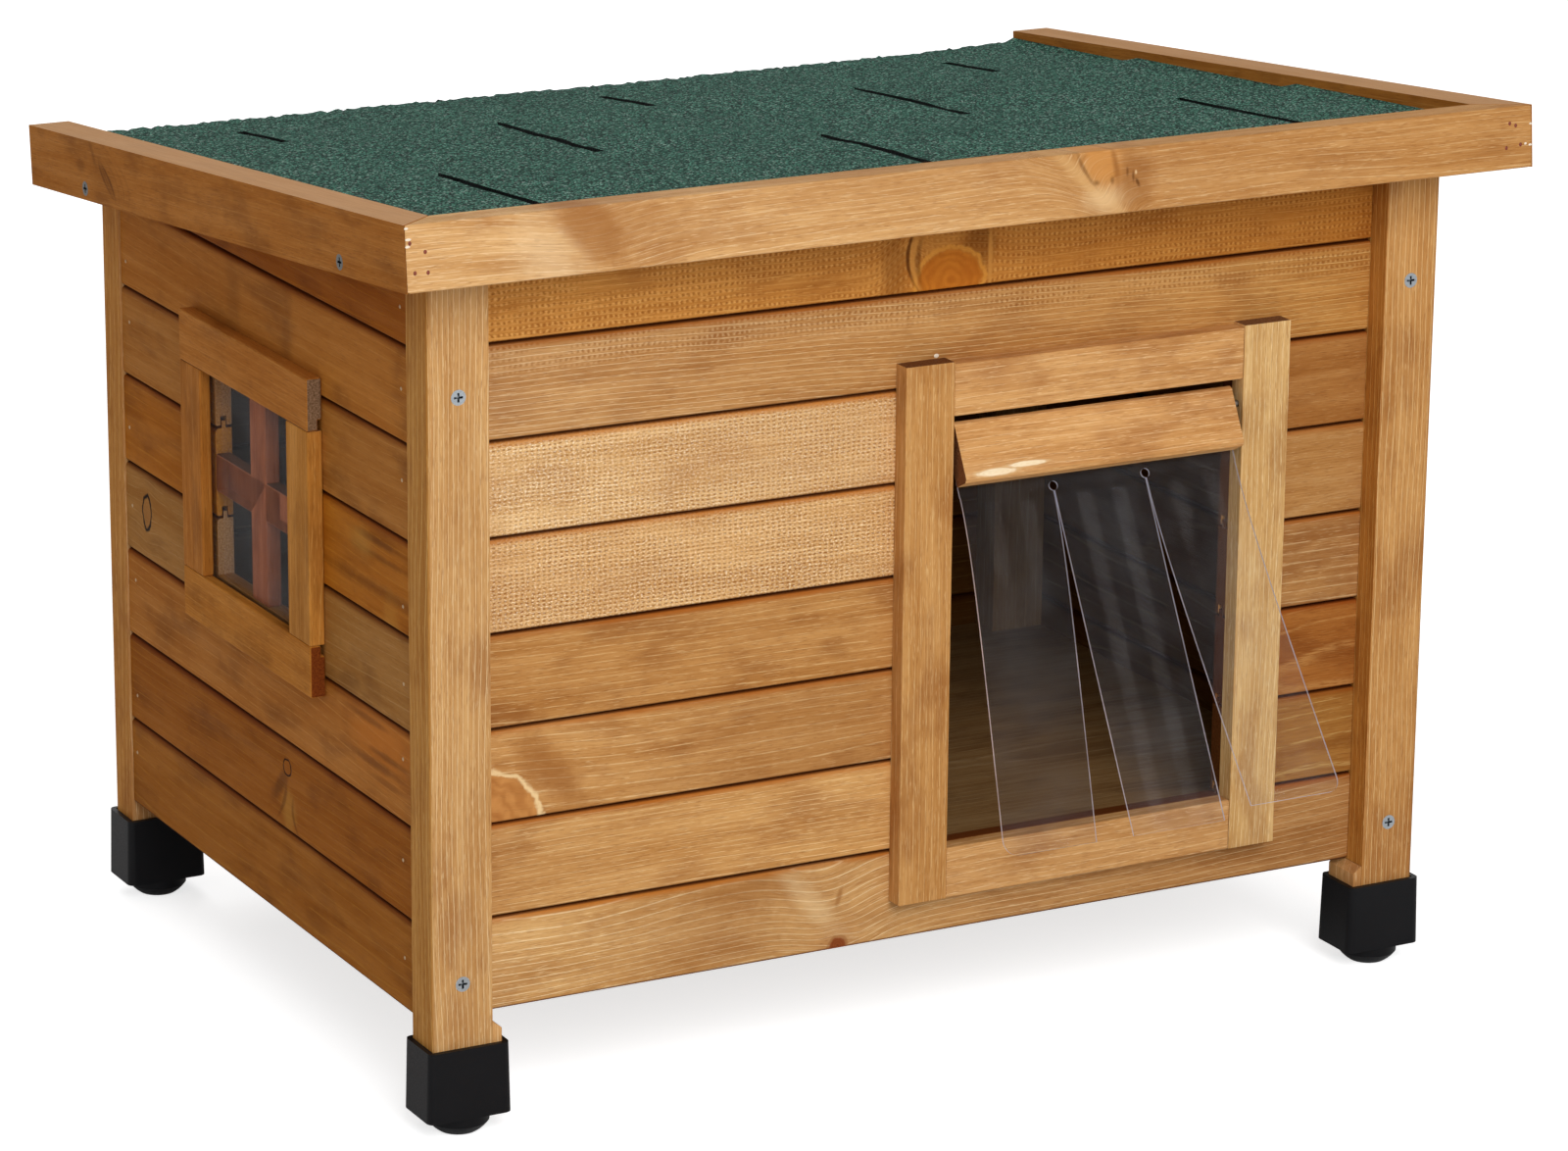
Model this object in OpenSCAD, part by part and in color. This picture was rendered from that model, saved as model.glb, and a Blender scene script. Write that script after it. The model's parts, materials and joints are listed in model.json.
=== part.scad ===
// Outdoor cat house: a boarded timber cabin on capped legs, under a hinged
// shingled lean-to roof, with a swinging strip flap and one side window.
// X runs left to right as seen from the door, Y runs front to back, Z is up.
// The origin is at the bottom centre of everything, with the flap part open.

/* [Cabin] */
// Width over the corner posts
body_width = 519; // [440:1:620]
// Depth over the corner posts
body_depth = 375; // [320:1:460]
// Height of the bottom edge of the boards above the ground
wall_bottom = 52; // [50:0.5:60]
// Height of one board, seam to seam
board_pitch = 43.6; // [38:0.1:50]
// Thickness of a wall board
board_thickness = 8.5; // [7:0.5:11]
// How far the front and back boards stand behind the faces of the posts
board_recess = 12.7; // [8:0.1:14]
// How far the side boards stand behind the side faces of the posts
side_recess = 1; // [0.5:0.5:3]
// Gap between the faces of two boards
board_seam = 0.8; // [0.4:0.1:1.5]
// Rounding of the upper edge of a board's face
board_round = 2; // [1:0.2:3]
// Chamfer along the lower edge of a board's face
board_chamfer = 0.7; // [0.4:0.1:2]
// Height of the tongue that stands in the groove of the board above
board_tongue = 3.5; // [2:0.5:5]

/* [Posts] */
// Width of a corner post, seen from the front
post_width = 29; // [25:1:40]
// Thickness of a corner post, front to back
post_thickness = 21.6; // [20:0.2:30]
// Rounding of the outer edge of a post
post_round = 2; // [1:0.5:4]
// Width of the cleat inside each corner
cleat_width = 30; // [24:1:40]
// Depth of the cleat inside each corner
cleat_depth = 18; // [14:1:24]

/* [Roof] */
// Gap between the posts and the side trims
trim_gap = 5; // [4:0.5:40]
// How far the roof stands behind the back posts
roof_back_overhang = 27; // [25:0.5:60]
// Fall of the roof towards the back, in degrees
roof_slope = 5.25; // [3:0.25:6]
// Height of the roof's front top edge above the eighth board of the front
roof_rise = 24.2; // [22:0.2:60]
// How far the front top edge stands ahead of the posts
roof_overhang = 33.6; // [28:0.2:60]
// Height of the front fascia and the side trims
fascia_height = 29; // [27:0.5:40]
// Thickness of the fascia and the side trims
fascia_thickness = 20.5; // [14:0.5:22]
// How far the trims stand above the shingles
trim_rise = 5; // [3:0.5:8]
// Thickness of one shingle
shingle_thickness = 2.8; // [2:0.2:3.2]
// How far each course of shingles laps over the next one
shingle_lap = 15; // [10:1:30]
// Exposed length of the two upper courses, down the slope
shingle_exposure = 146; // [130:1:152]
// Width of one shingle tab
shingle_tab = 195; // [160:1:240]
// Length of the slot between two tabs
shingle_slot = 116; // [80:1:128]
// Length of the slots in the back course, which stop short of the back edge
back_slot = 54; // [30:1:60]
// Felt left whole between those slots and the back edge
back_slot_margin = 48; // [30:1:60]
// Width of the slot between two tabs
shingle_slot_width = 4; // [2:0.5:8]
// Thickness of the roof boards
deck_thickness = 9; // [7:0.5:10]
// Number of roof boards
deck_boards = 5; // [4:1:7]
// Width of the two battens under the roof boards
batten_width = 19; // [14:1:20]
// Distance of the middle of the front batten behind the front posts
batten_front = 13.4; // [13:0.2:30]
// Distance of the middle of the rear batten ahead of the back posts
batten_rear = 22; // [14:0.2:30]

/* [Door] */
// Distance of the door frame from the right post
door_gap = 49.5; // [10:0.5:100]
// Width of the doorway
door_width = 154; // [120:1:180]
// Height of the wood above the doorway in the sixth board
door_head = 13; // [8:0.5:34]
// Width of the two upright strips of the door frame
door_stile = 25; // [18:0.5:32]
// Height of the two level strips of the door frame
door_rail = 24.4; // [18:0.2:32]
// Thickness of the strips of the door frame
door_frame_thickness = 9.5; // [9:0.5:12]
// How far the upright strips stand above the top strip
stile_rise = 1; // [0:0.5:4]

/* [Flap] */
// How far the flap bar stands open at rest, in degrees from hanging
flap_angle = 27.3; // [0:0.1:30]
// How far each plastic strip stands open at rest, left to right
tongue_angles = [16.2, 28, 36.6]; // [5:0.1:45]
// Height of the flap bar
bar_height = 24.6; // [20:0.2:30]
// Thickness of the flap bar
bar_thickness = 10; // [9:0.5:12]
// Gap between the left end of the bar and the door frame
bar_gap_left = 2; // [1:0.5:5]
// Gap between the right end of the bar and the door frame
bar_gap_right = 4; // [1:0.5:5]
// Gap between the hanging bar and the top of the doorway
bar_top_gap = 8.7; // [6:0.1:12]
// Distance of the pivot below the top of the bar
pivot_drop = 4; // [3:0.5:6]
// Diameter of the two pivot pins of the bar
flap_pin_diameter = 3; // [2:0.5:4]
// Length of a pivot pin
flap_pin_length = 24; // [20:1:30]
// Thickness of the clear plastic sheet
sheet_thickness = 1; // [0.8:0.1:2]
// Height of the sheet behind the bar
sheet_overlap = 19; // [12:1:20]
// Distance of the slit ends below the bar
slit_drop = 5; // [4:0.5:10]
// Diameter of the round hole that ends each slit
slit_hole = 4.4; // [3:0.2:6]
// Width of a slit
slit_width = 0.4; // [0.3:0.1:1]
// Gap between the hanging strips and the sill
sill_gap = 2.7; // [2:0.1:20]
// Rounding of the two outer bottom corners of the sheet
tongue_round = 8; // [4:1:14]

/* [Window] */
// Width and height of the window opening
window_size = 100; // [80:1:102]
// Height of the bottom of the opening above the foot of the fourth board
window_sill = 15.6; // [8:0.2:26]
// Distance of the middle of the window behind the middle of the wall
window_offset = 1.5; // [-20:0.5:20]
// Width of the strips of the window frame
window_strip = 24.4; // [18:0.2:30]
// Thickness of the strips of the window frame
window_strip_thickness = 7.5; // [6:0.5:10]
// Width of the rebate that holds the pane
pane_rebate = 5; // [3:0.5:8]
// Thickness of the clear pane
pane_thickness = 2; // [1:0.5:3]
// Width of the two crossed window bars
window_bar = 18; // [10:1:24]
// Thickness of the two crossed window bars
window_bar_thickness = 7; // [5:0.5:7]

/* [Floor] */
// Thickness of the floor panel
floor_thickness = 8; // [6:0.5:12]
// Width of the ledgers that carry the floor
ledger_width = 18; // [12:1:22]
// Height of the ledgers that carry the floor
ledger_height = 19; // [14:1:24]

/* [Feet] */
// Height of a plastic leg cap
cap_height = 33; // [26:1:36]
// Height of the underside of a leg cap above the ground
cap_lift = 9; // [7:0.5:12]
// Wall of a leg cap
cap_wall = 2.5; // [2:0.1:3]
// How much wider each side of a cap is at the bottom
cap_flare = 0.8; // [0.4:0.1:1.5]
// Rounding of the corners of a cap
cap_round = 3; // [2.4:0.2:4]
// Thickness of the strip that packs each cap beside its post
packer_thickness = 4.6; // [3:0.2:8]
// Slant of the top of the packing strip
packer_slant = 3.5; // [1:0.5:4]
// Diameter of a levelling pad
pad_diameter = 28; // [24:1:30]
// Diameter of the flat underside of a levelling pad
pad_foot = 18; // [14:1:20]
// Height of the rounded part of a levelling pad
pad_dome = 4.7; // [3:0.1:6]
// Diameter of the screwed stem of a levelling pad
stem_diameter = 8; // [6:1:10]
// Length of the screwed stem of a levelling pad
stem_length = 24; // [20:1:28]

/* [Hinges and screws] */
// Length of a roof hinge along its pin
hinge_length = 25; // [20:1:29]
// Width of one leaf of a roof hinge
hinge_leaf = 19; // [16:1:19]
// Thickness of one leaf of a roof hinge
leaf_thickness = 1.5; // [1:0.1:1.6]
// Diameter of the knuckle of a roof hinge
knuckle_diameter = 5.6; // [5:0.2:6]
// Diameter of the pin of a roof hinge
hinge_pin_diameter = 3; // [2.4:0.1:3.2]
// Head diameter of the screws in the posts and trims
screw_head = 7; // [6:0.2:8]
// Shank diameter of the screws in the posts and trims
screw_shank = 3.6; // [3:0.1:4.4]
// Length of the screws in the posts and trims
screw_length = 35; // [32:1:38]
// Height of the lower screw of each post above the ground
screw_low = 71.8; // [66:0.2:80]
// Distance of the upper screw of each post below the roof
screw_drop = 64.6; // [40:0.2:90]
// Distance of the post screws from the outer side of the post
screw_inset = 14.6; // [12:0.2:17]

/* [Hidden] */
$fn = 48;
// Clearances between pieces
seat_gap = 0.3;
slide_gap = 0.1;
pin_gap = 0.05;
tongue_gap = 0.2;
cap_gap = 0.3;
notch_gap = 2;
beyond = 1;
big = 2000;

board_rows = 8;
cap_floor = 3;
post_foot = cap_lift + cap_floor;
roof_top = wall_bottom + board_rows * board_pitch + roof_rise;
groove_share = 1 / 3;
deck_ease = 0.5;
felt_under_slot = 1 / 3;

// The roof runs in its own frame: Y down the slope, Z square to it
deck_drop = trim_rise + 1.5 * shingle_thickness;
deck_under = deck_drop + deck_thickness;
batten_thickness = fascia_height - deck_under - seat_gap;
roof_inner = body_width / 2 + trim_gap;
roof_width = 2 * (roof_inner + fascia_thickness);
roof_length = (roof_overhang + body_depth + roof_back_overhang) / cos(roof_slope);
deck_start = fascia_thickness;
deck_end = roof_length - 3.5;
inner_depth = max(board_recess + board_thickness, post_thickness);
batten_places = [
    (roof_overhang + inner_depth + batten_front) / cos(roof_slope),
    (roof_overhang + body_depth - inner_depth - batten_rear) / cos(roof_slope)
];

// Where the flap turns, measured from the faces of the front posts
door_front = board_recess - door_frame_thickness;
pivot_back = door_front + bar_thickness / 2;
sill = wall_bottom + board_pitch;
door_top = wall_bottom + 6 * board_pitch - door_head;
door_centre = body_width / 2 - post_width - door_gap - door_stile - door_width / 2;
pivot_z = door_top - bar_top_gap - pivot_drop;
bar_left = door_centre - door_width / 2 + bar_gap_left;
bar_right = door_centre + door_width / 2 - bar_gap_right;
bar_length = bar_right - bar_left;
bar_below = bar_height - pivot_drop;
sheet_back = bar_thickness / 2 + sheet_thickness / 2;
flex_below = bar_below + slit_drop;
flex_lift = 0.4;
tongue_length = pivot_z - flex_below - sill - sill_gap;
flex_back = pivot_back + sheet_back * cos(flap_angle) - flex_below * sin(flap_angle);
flex_z = pivot_z - sheet_back * sin(flap_angle) - flex_below * cos(flap_angle);
tongue_reach = tongue_length * sin(max(tongue_angles)) + sheet_thickness / 2;

// The front posts' faces lie here, so that the whole stands centred on Y
most_forward = min(flex_back - tongue_reach, -roof_overhang - fascia_height * sin(roof_slope));
most_back = roof_length * cos(roof_slope) - roof_overhang;
front_y = -(most_forward + most_back) / 2;
back_y = front_y + body_depth;
middle_y = front_y + body_depth / 2;
roof_front_y = front_y - roof_overhang;

// Faces of the walls
side_face = body_width / 2 - side_recess;
side_inner = side_face - board_thickness;
front_face = front_y + board_recess;
front_inner = front_face + board_thickness;
post_inner = body_width / 2 - post_width;
post_back = front_y + post_thickness;
side_length = body_depth - 2 * post_thickness;
cleat_y = front_y + inner_depth;
floor_z = wall_bottom + ledger_height;

// The roof hinges behind the back posts
axis_offset = knuckle_diameter / 2 + seat_gap;
axis_y = back_y + axis_offset;
roof_fall = tan(roof_slope);
axis_z = roof_top - (deck_under + axis_offset) / cos(roof_slope) - roof_fall * (axis_y - roof_front_y);
hinge_x = body_width / 2 - post_width / 2;
hinge_screw_head = 5;
hinge_screw_shank = 2.4;
hinge_screw_length = 11;
hinge_screw_spread = hinge_length / 2 - 5;
// The hinge axis, measured down the slope from the roof's front edge
axis_run = (axis_y - roof_front_y) * cos(roof_slope) + (roof_top - axis_z) * sin(roof_slope);

window_y = middle_y + window_offset;
window_bottom = wall_bottom + 3 * board_pitch + window_sill;
window_top = window_bottom + window_size;

wood = [0.74, 0.49, 0.24];
dark_wood = [0.58, 0.36, 0.16];
zinc = [0.75, 0.77, 0.8];
clear = [0.8, 0.9, 0.95, 0.35];
felt = [0.09, 0.26, 0.2];
plastic = [0.08, 0.08, 0.09];

FRONT_BOARDS = ["front_board_1", "front_board_2", "front_board_3", "front_board_4",
                "front_board_5", "front_board_6", "front_board_7", "front_board_8"];
LEFT_BOARDS = ["left_board_1", "left_board_2", "left_board_3", "left_board_4",
               "left_board_5", "left_board_6", "left_board_7", "left_board_8"];
POSTS = ["post_front_left", "post_front_right", "post_back_left", "post_back_right"];
COURSES = ["shingle_course_1", "shingle_course_2", "shingle_course_3"];
TONGUES = ["flap_tongue_left", "flap_tongue_middle", "flap_tongue_right"];

// Helpers

// A box from one corner to the other
module block(low, high) {
    translate(low)
        cube(high - low);
}

// Children once as they are and once mirrored left to right
module both_sides() {
    children();
    mirror([1, 0, 0])
        children();
}

// Children mirrored front to back about the middle of the cabin
module at_back() {
    translate([0, 2 * middle_y, 0])
        mirror([0, 1, 0])
            children();
}

// Corners: 0 front left, 1 front right, 2 back left, 3 back right
module at_corner(corner) {
    if (corner == 0) children();
    if (corner == 1) mirror([1, 0, 0]) children();
    if (corner == 2) at_back() children();
    if (corner == 3) at_back() mirror([1, 0, 0]) children();
}

// The roof's frame: Y runs down the slope from the front top edge
module on_roof() {
    translate([0, roof_front_y, roof_top])
        rotate([-roof_slope, 0, 0])
            children();
}

// Everything above a plane that lies this far under the roof's top
module above_roof_plane(drop) {
    on_roof()
        block([-big, -big, -drop], [big, big, big]);
}

// The flap's frame: origin at the pivot, Z up along the bar
module on_flap() {
    translate([0, front_y + pivot_back, pivot_z])
        rotate([-flap_angle, 0, 0])
            children();
}

// A countersunk screw along -Z with its head's face at z = 0
module screw(head, shank, length, grow = 0) {
    taper = (head - shank) / 2;
    translate([0, 0, -taper])
        cylinder(h = taper, d1 = shank + 2 * grow, d2 = head + 2 * grow);
    translate([0, 0, -length - grow])
        cylinder(h = length + grow, d = shank + 2 * grow);
    if (grow > 0)
        cylinder(h = beyond, d = head + 2 * grow);
}

// The cross recess in a screw's head
module cross_recess(head) {
    arm = head * 0.6;
    slot = head * 0.14;
    depth = head * 0.16;
    for (turn = [0, 90])
        rotate([0, 0, turn])
            block([-arm / 2, -slot / 2, -depth], [arm / 2, slot / 2, beyond]);
}

module cut_screw(head, shank, length) {
    difference() {
        screw(head, shank, length);
        cross_recess(head);
    }
}

// Boards

// Section of a board: X is its depth from the face, Y its height
module board_section(height, thickness, chamfer, round, tongued, grooved) {
    half = board_seam / 2;
    low = grooved ? half : 0;
    high = tongued ? height - half : height;
    groove = thickness * groove_share;
    groove_near = (thickness - groove) / 2;
    difference() {
        union() {
            polygon(concat(
                [[0, low + chamfer], [chamfer, low], [thickness, low], [thickness, high]],
                [for (turn = [90 : -22.5 : 0])
                    [round * (1 - cos(turn)), high - round * (1 - sin(turn))]]
            ));
            if (tongued)
                translate([groove_near + tongue_gap, high - beyond])
                    square([groove - 2 * tongue_gap, board_tongue + beyond]);
        }
        if (grooved)
            translate([groove_near, low - beyond])
                square([groove, board_tongue + board_seam + tongue_gap + beyond]);
    }
}

// Section of one row of a wall; the top row is cut to the roof later
module row_section(row) {
    top_row = row == board_rows - 1;
    board_section(top_row ? 2 * board_pitch : board_pitch, board_thickness, board_chamfer,
                  board_round, !top_row, row > 0);
}

// A board of the front wall, from one x to another
module front_strip(row, from_x, to_x) {
    translate([from_x, front_face, wall_bottom + row * board_pitch])
        rotate([90, 0, 90])
            linear_extrude(to_x - from_x)
                row_section(row);
}

// A board of the left wall, from one y to another
module left_strip(row, from_y, to_y) {
    translate([-side_face, to_y, wall_bottom + row * board_pitch])
        rotate([90, 0, 0])
            linear_extrude(to_y - from_y)
                row_section(row);
}

module door_hole() {
    block([door_centre - door_width / 2, front_y - beyond, sill - board_seam / 2],
          [door_centre + door_width / 2, front_inner + beyond, door_top]);
}

module front_board(row) {
    color(wood)
        difference() {
            front_strip(row, -post_inner, post_inner);
            door_hole();
            above_roof_plane(deck_under + seat_gap);
        }
}

module window_hole() {
    block([-side_face - beyond, window_y - window_size / 2, window_bottom],
          [-side_inner + beyond, window_y + window_size / 2, window_top]);
}

// The side boards stop under the roof's battens, behind the side trims
module side_board(row) {
    difference() {
        left_strip(row, post_back, post_back + side_length);
        above_roof_plane(deck_under + batten_thickness + seat_gap);
    }
}

module left_board(row) {
    color(dark_wood)
        difference() {
            side_board(row);
            window_hole();
        }
}

module right_boards() {
    color(dark_wood)
        mirror([1, 0, 0])
            for (row = [0 : board_rows - 1])
                side_board(row);
}

module back_boards() {
    color(dark_wood)
        difference() {
            at_back()
                for (row = [0 : board_rows - 1])
                    front_strip(row, -post_inner, post_inner);
            above_roof_plane(deck_under + seat_gap);
        }
}

// Posts and cleats

// The front left post, before its top is cut to the slope
module post_blank() {
    left = -body_width / 2;
    translate([0, 0, post_foot])
        linear_extrude(roof_top)
            difference() {
                translate([left, front_y])
                    square([post_width, post_thickness]);
                translate([left, front_y])
                    difference() {
                        translate([-beyond, -beyond])
                            square(post_round + beyond);
                        translate([post_round, post_round])
                            circle(r = post_round);
                    }
            }
}

// The underside of the roof over the outer face of a post
function post_top(corner) =
    roof_top - (deck_under + seat_gap) / cos(roof_slope)
    - roof_fall * (roof_overhang + (corner > 1 ? body_depth : 0));

module post_screw_places(corner) {
    for (height = [screw_low, post_top(corner) - screw_drop])
        translate([-body_width / 2 + screw_inset, front_y, height])
            rotate([90, 0, 0])
                children();
}

module stem_place() {
    translate([-body_width / 2 + (post_width + packer_thickness) / 2, front_y + post_thickness / 2, 0])
        children();
}

module hinge_wall_screw_places() {
    for (side = [-1, 1])
        translate([-hinge_x + side * hinge_screw_spread, back_y + leaf_thickness, axis_z - hinge_leaf * 0.6])
            rotate([-90, 0, 0])
                children();
}

module post(corner) {
    color(wood)
        difference() {
            at_corner(corner)
                difference() {
                    post_blank();
                    post_screw_places(corner)
                        screw(screw_head, screw_shank, screw_length, pin_gap);
                    stem_place()
                        translate([0, 0, post_foot - beyond])
                            cylinder(h = stem_length + beyond, d = stem_diameter + 1);
                }
            above_roof_plane(deck_under + seat_gap);
            if (corner > 1)
                both_sides()
                    hinge_wall_screw_places()
                        screw(hinge_screw_head, hinge_screw_shank, hinge_screw_length, pin_gap);
        }
}

module corner_cleats() {
    color(dark_wood)
        difference() {
            for (corner = [0 : 3])
                at_corner(corner)
                    difference() {
                        block([-side_inner, cleat_y, wall_bottom],
                              [-side_inner + cleat_width, cleat_y + cleat_depth, roof_top]);
                        post_screw_places(corner)
                            screw(screw_head, screw_shank, screw_length, pin_gap);
                    }
            above_roof_plane(deck_under + batten_thickness + notch_gap);
        }
}

module post_screws() {
    color(zinc)
        for (corner = [0 : 3])
            at_corner(corner)
                post_screw_places(corner)
                    cut_screw(screw_head, screw_shank, screw_length);
}

// Door frame

module door_strip(from_x, to_x, from_z, to_z) {
    color(wood)
        block([from_x, front_y + door_front, from_z], [to_x, front_face, to_z]);
}

module door_stile(side) {
    edge = door_width / 2;
    near = door_centre + (side > 0 ? edge : -edge - door_stile);
    difference() {
        door_strip(near, near + door_stile, sill - door_rail, door_top + door_rail + stile_rise);
        flap_pin_places()
            translate([0, 0, -beyond])
                cylinder(h = flap_pin_length + 2 * beyond, d = flap_pin_diameter + 2 * pin_gap);
    }
}

module door_rail_at(from_z) {
    door_strip(door_centre - door_width / 2, door_centre + door_width / 2, from_z, from_z + door_rail);
}

// Window

// A frame strip with its rebate along one inner edge, laid along Y
module window_strip_y(from_y, to_y, from_z, rebate_up) {
    back = -side_face;
    rebate_z = rebate_up ? from_z + window_strip - pane_rebate : from_z - beyond;
    difference() {
        block([back - window_strip_thickness, from_y, from_z], [back, to_y, from_z + window_strip]);
        block([back - pane_thickness, from_y - beyond, rebate_z],
              [back + beyond, to_y + beyond, rebate_z + pane_rebate + beyond]);
    }
}

module window_stile_at(from_y, rebate_behind) {
    back = -side_face;
    rebate_y = rebate_behind ? from_y + window_strip - pane_rebate : from_y - beyond;
    color(dark_wood)
        difference() {
            block([back - window_strip_thickness, from_y, window_bottom],
                  [back, from_y + window_strip, window_top]);
            block([back - pane_thickness, rebate_y, window_bottom - beyond],
                  [back + beyond, rebate_y + pane_rebate + beyond, window_top + beyond]);
        }
}

module window_rail(from_z, rebate_up) {
    half = window_size / 2 + window_strip;
    color(dark_wood)
        window_strip_y(window_y - half, window_y + half, from_z, rebate_up);
}

module window_pane() {
    half = window_size / 2 + pane_rebate - seat_gap;
    middle_z = window_bottom + window_size / 2;
    color(clear)
        block([-side_face - pane_thickness, window_y - half, middle_z - half],
              [-side_face, window_y + half, middle_z + half]);
}

// One bar of the cross, half cut away where the other one crosses it
module window_bar_piece(upright) {
    half = window_size / 2;
    near = -side_face;
    far = near + window_bar_thickness;
    middle = (near + far) / 2;
    notch = window_bar / 2;
    translate([0, window_y, window_bottom + half])
        rotate([upright ? 90 : 0, 0, 0])
            difference() {
                block([near, -half, -notch], [far, half, notch]);
                if (upright)
                    block([near - beyond, -notch, -notch - beyond], [middle, notch, notch + beyond]);
                else
                    block([middle, -notch, -notch - beyond], [far + beyond, notch, notch + beyond]);
            }
}

module window_bars() {
    color(dark_wood) {
        window_bar_piece(true);
        window_bar_piece(false);
    }
}

// Floor

module floor_panel() {
    inner_back = 2 * middle_y - front_inner;
    color(wood)
        difference() {
            block([-side_inner + seat_gap, front_inner + seat_gap, floor_z],
                  [side_inner - seat_gap, inner_back - seat_gap, floor_z + floor_thickness]);
            for (corner = [0 : 3])
                at_corner(corner)
                    block([-side_inner - beyond, front_inner - beyond, floor_z - beyond],
                          [-side_inner + cleat_width + seat_gap, cleat_y + cleat_depth + seat_gap,
                           floor_z + floor_thickness + beyond]);
        }
}

module floor_ledgers() {
    from_x = -side_inner + cleat_width;
    from_y = cleat_y + cleat_depth;
    color(dark_wood) {
        both_sides()
            block([-side_inner, from_y, wall_bottom],
                  [-side_inner + ledger_width, 2 * middle_y - from_y, floor_z]);
        for (end = [0, 1])
            at_corner(2 * end)
                block([from_x, front_inner, wall_bottom], [-from_x, front_inner + ledger_width, floor_z]);
    }
}

// Feet

cap_width = post_width + packer_thickness + 2 * cap_wall + 2 * cap_gap;
cap_depth = post_thickness + 2 * cap_wall + 2 * cap_gap;

// A block with rounded corners that widens towards its foot
module flared_block() {
    hull()
        for (x = [-1, 1], y = [-1, 1])
            translate([x * (cap_width / 2 - cap_round), y * (cap_depth / 2 - cap_round), 0])
                cylinder(h = cap_height, r1 = cap_round + cap_flare, r2 = cap_round, $fn = 24);
}

module leg_cap() {
    inner_x = cap_width / 2 - cap_wall;
    inner_y = cap_depth / 2 - cap_wall;
    stem_place()
        translate([0, 0, cap_lift])
            difference() {
                flared_block();
                block([-inner_x, -inner_y, cap_floor], [inner_x, inner_y, cap_height + beyond]);
                translate([0, 0, -beyond])
                    cylinder(h = cap_floor + 2 * beyond, d = stem_diameter + 2 * slide_gap);
            }
}

module leg_caps() {
    color(plastic)
        for (corner = [0 : 3])
            at_corner(corner)
                leg_cap();
}

// The short strip beside each post, cut off at a slant
module cap_packers() {
    high = wall_bottom - seat_gap;
    left = -body_width / 2 + post_width;
    right = left + packer_thickness;
    color(dark_wood)
        for (corner = [0 : 3])
            at_corner(corner)
                translate([0, front_y + post_thickness, 0])
                    rotate([90, 0, 0])
                        linear_extrude(post_thickness)
                            polygon([
                                [left, post_foot], [right, post_foot],
                                [right, high - packer_slant], [left, high]
                            ]);
}

// A round levelling pad on a screwed stem, against the underside of its cap
module leg_pad() {
    foot_r = pad_foot / 2;
    pad_r = pad_diameter / 2;
    centre = (pad_r * pad_r - foot_r * foot_r + pad_dome * pad_dome) / (2 * pad_dome);
    ball = sqrt(centre * centre + foot_r * foot_r);
    intersection() {
        translate([0, 0, centre])
            sphere(r = ball, $fn = 96);
        cylinder(h = cap_lift, r = pad_r);
    }
    cylinder(h = cap_lift + stem_length, d = stem_diameter);
}

module leg_pads() {
    color(plastic)
        for (corner = [0 : 3])
            at_corner(corner)
                stem_place()
                    leg_pad();
}

// Roof

module roof_board(index) {
    pitch = (deck_end - deck_start) / deck_boards;
    translate([-roof_inner, deck_start + index * pitch, -deck_under])
        rotate([90, 0, 90])
            linear_extrude(2 * roof_inner)
                translate([0, deck_thickness])
                    rotate([0, 0, -90])
                        mirror([0, 1, 0])
                            translate([0, -pitch])
                                board_section(pitch, deck_thickness, deck_ease, deck_ease,
                                              index > 0, index < deck_boards - 1);
}

module hinge_roof_screw_places() {
    for (side = [-1, 1])
        translate([-hinge_x + side * hinge_screw_spread, axis_run + hinge_leaf * 0.6, -deck_under - leaf_thickness])
            rotate([180, 0, 0])
                children();
}

module roof_boards() {
    color(wood)
        on_roof()
            difference() {
                for (index = [0 : deck_boards - 1])
                    roof_board(index);
                both_sides()
                    hinge_roof_screw_places()
                        screw(hinge_screw_head, hinge_screw_shank, deck_thickness - 1, pin_gap);
            }
}

// Where the exposed part of each course ends
function course_end(index) =
    index < 2 ? fascia_thickness + (index + 1) * shingle_exposure : roof_length;
function course_start(index) =
    index == 0 ? fascia_thickness : course_end(index - 1) - shingle_lap;

// Each course thickens towards its lower edge, which lies over the next one
module shingle_course(index) {
    start = course_start(index);
    end = course_end(index);
    flat = start + (index == 0 ? 0 : shingle_lap);
    rise = shingle_thickness / (end - flat);
    lap = [[end, shingle_thickness], [end - shingle_lap, shingle_thickness], [end - shingle_lap, 0]];
    last = index == 2;
    slot_end = last ? end - back_slot_margin : end + beyond;
    slot_start = last ? slot_end - back_slot : end - shingle_slot;
    slot_high = shingle_thickness * (1 + felt_under_slot);
    shift = index == 1 ? 0.5 : 0;
    tabs = ceil(roof_width / shingle_tab);
    color(felt)
        on_roof()
            translate([0, 0, -deck_drop])
                difference() {
                    translate([-roof_inner, 0, 0])
                        rotate([90, 0, 90])
                            linear_extrude(2 * roof_inner)
                                polygon(concat(
                                    [[start, 0], [start, shingle_thickness],
                                     [flat, shingle_thickness], [end, 2 * shingle_thickness]],
                                    last ? [[end, 0]] : lap
                                ));
                    for (tab = [-tabs : tabs])
                        translate([(tab + shift) * shingle_tab - shingle_slot_width / 2, 0, 0])
                            rotate([90, 0, 90])
                                linear_extrude(shingle_slot_width)
                                    polygon([
                                        [slot_start, slot_high - rise * (end - slot_start)],
                                        [slot_end, slot_high - rise * (end - slot_end)],
                                        [slot_end, 3 * shingle_thickness],
                                        [slot_start, 3 * shingle_thickness]
                                    ]);
                }
}

module roof_fascia() {
    half = roof_width / 2;
    color(wood)
        on_roof()
            translate([0, 0, -fascia_height])
                linear_extrude(fascia_height)
                    polygon([
                        [-half, 0], [half, 0],
                        [roof_inner, fascia_thickness], [-roof_inner, fascia_thickness]
                    ]);
}

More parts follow.
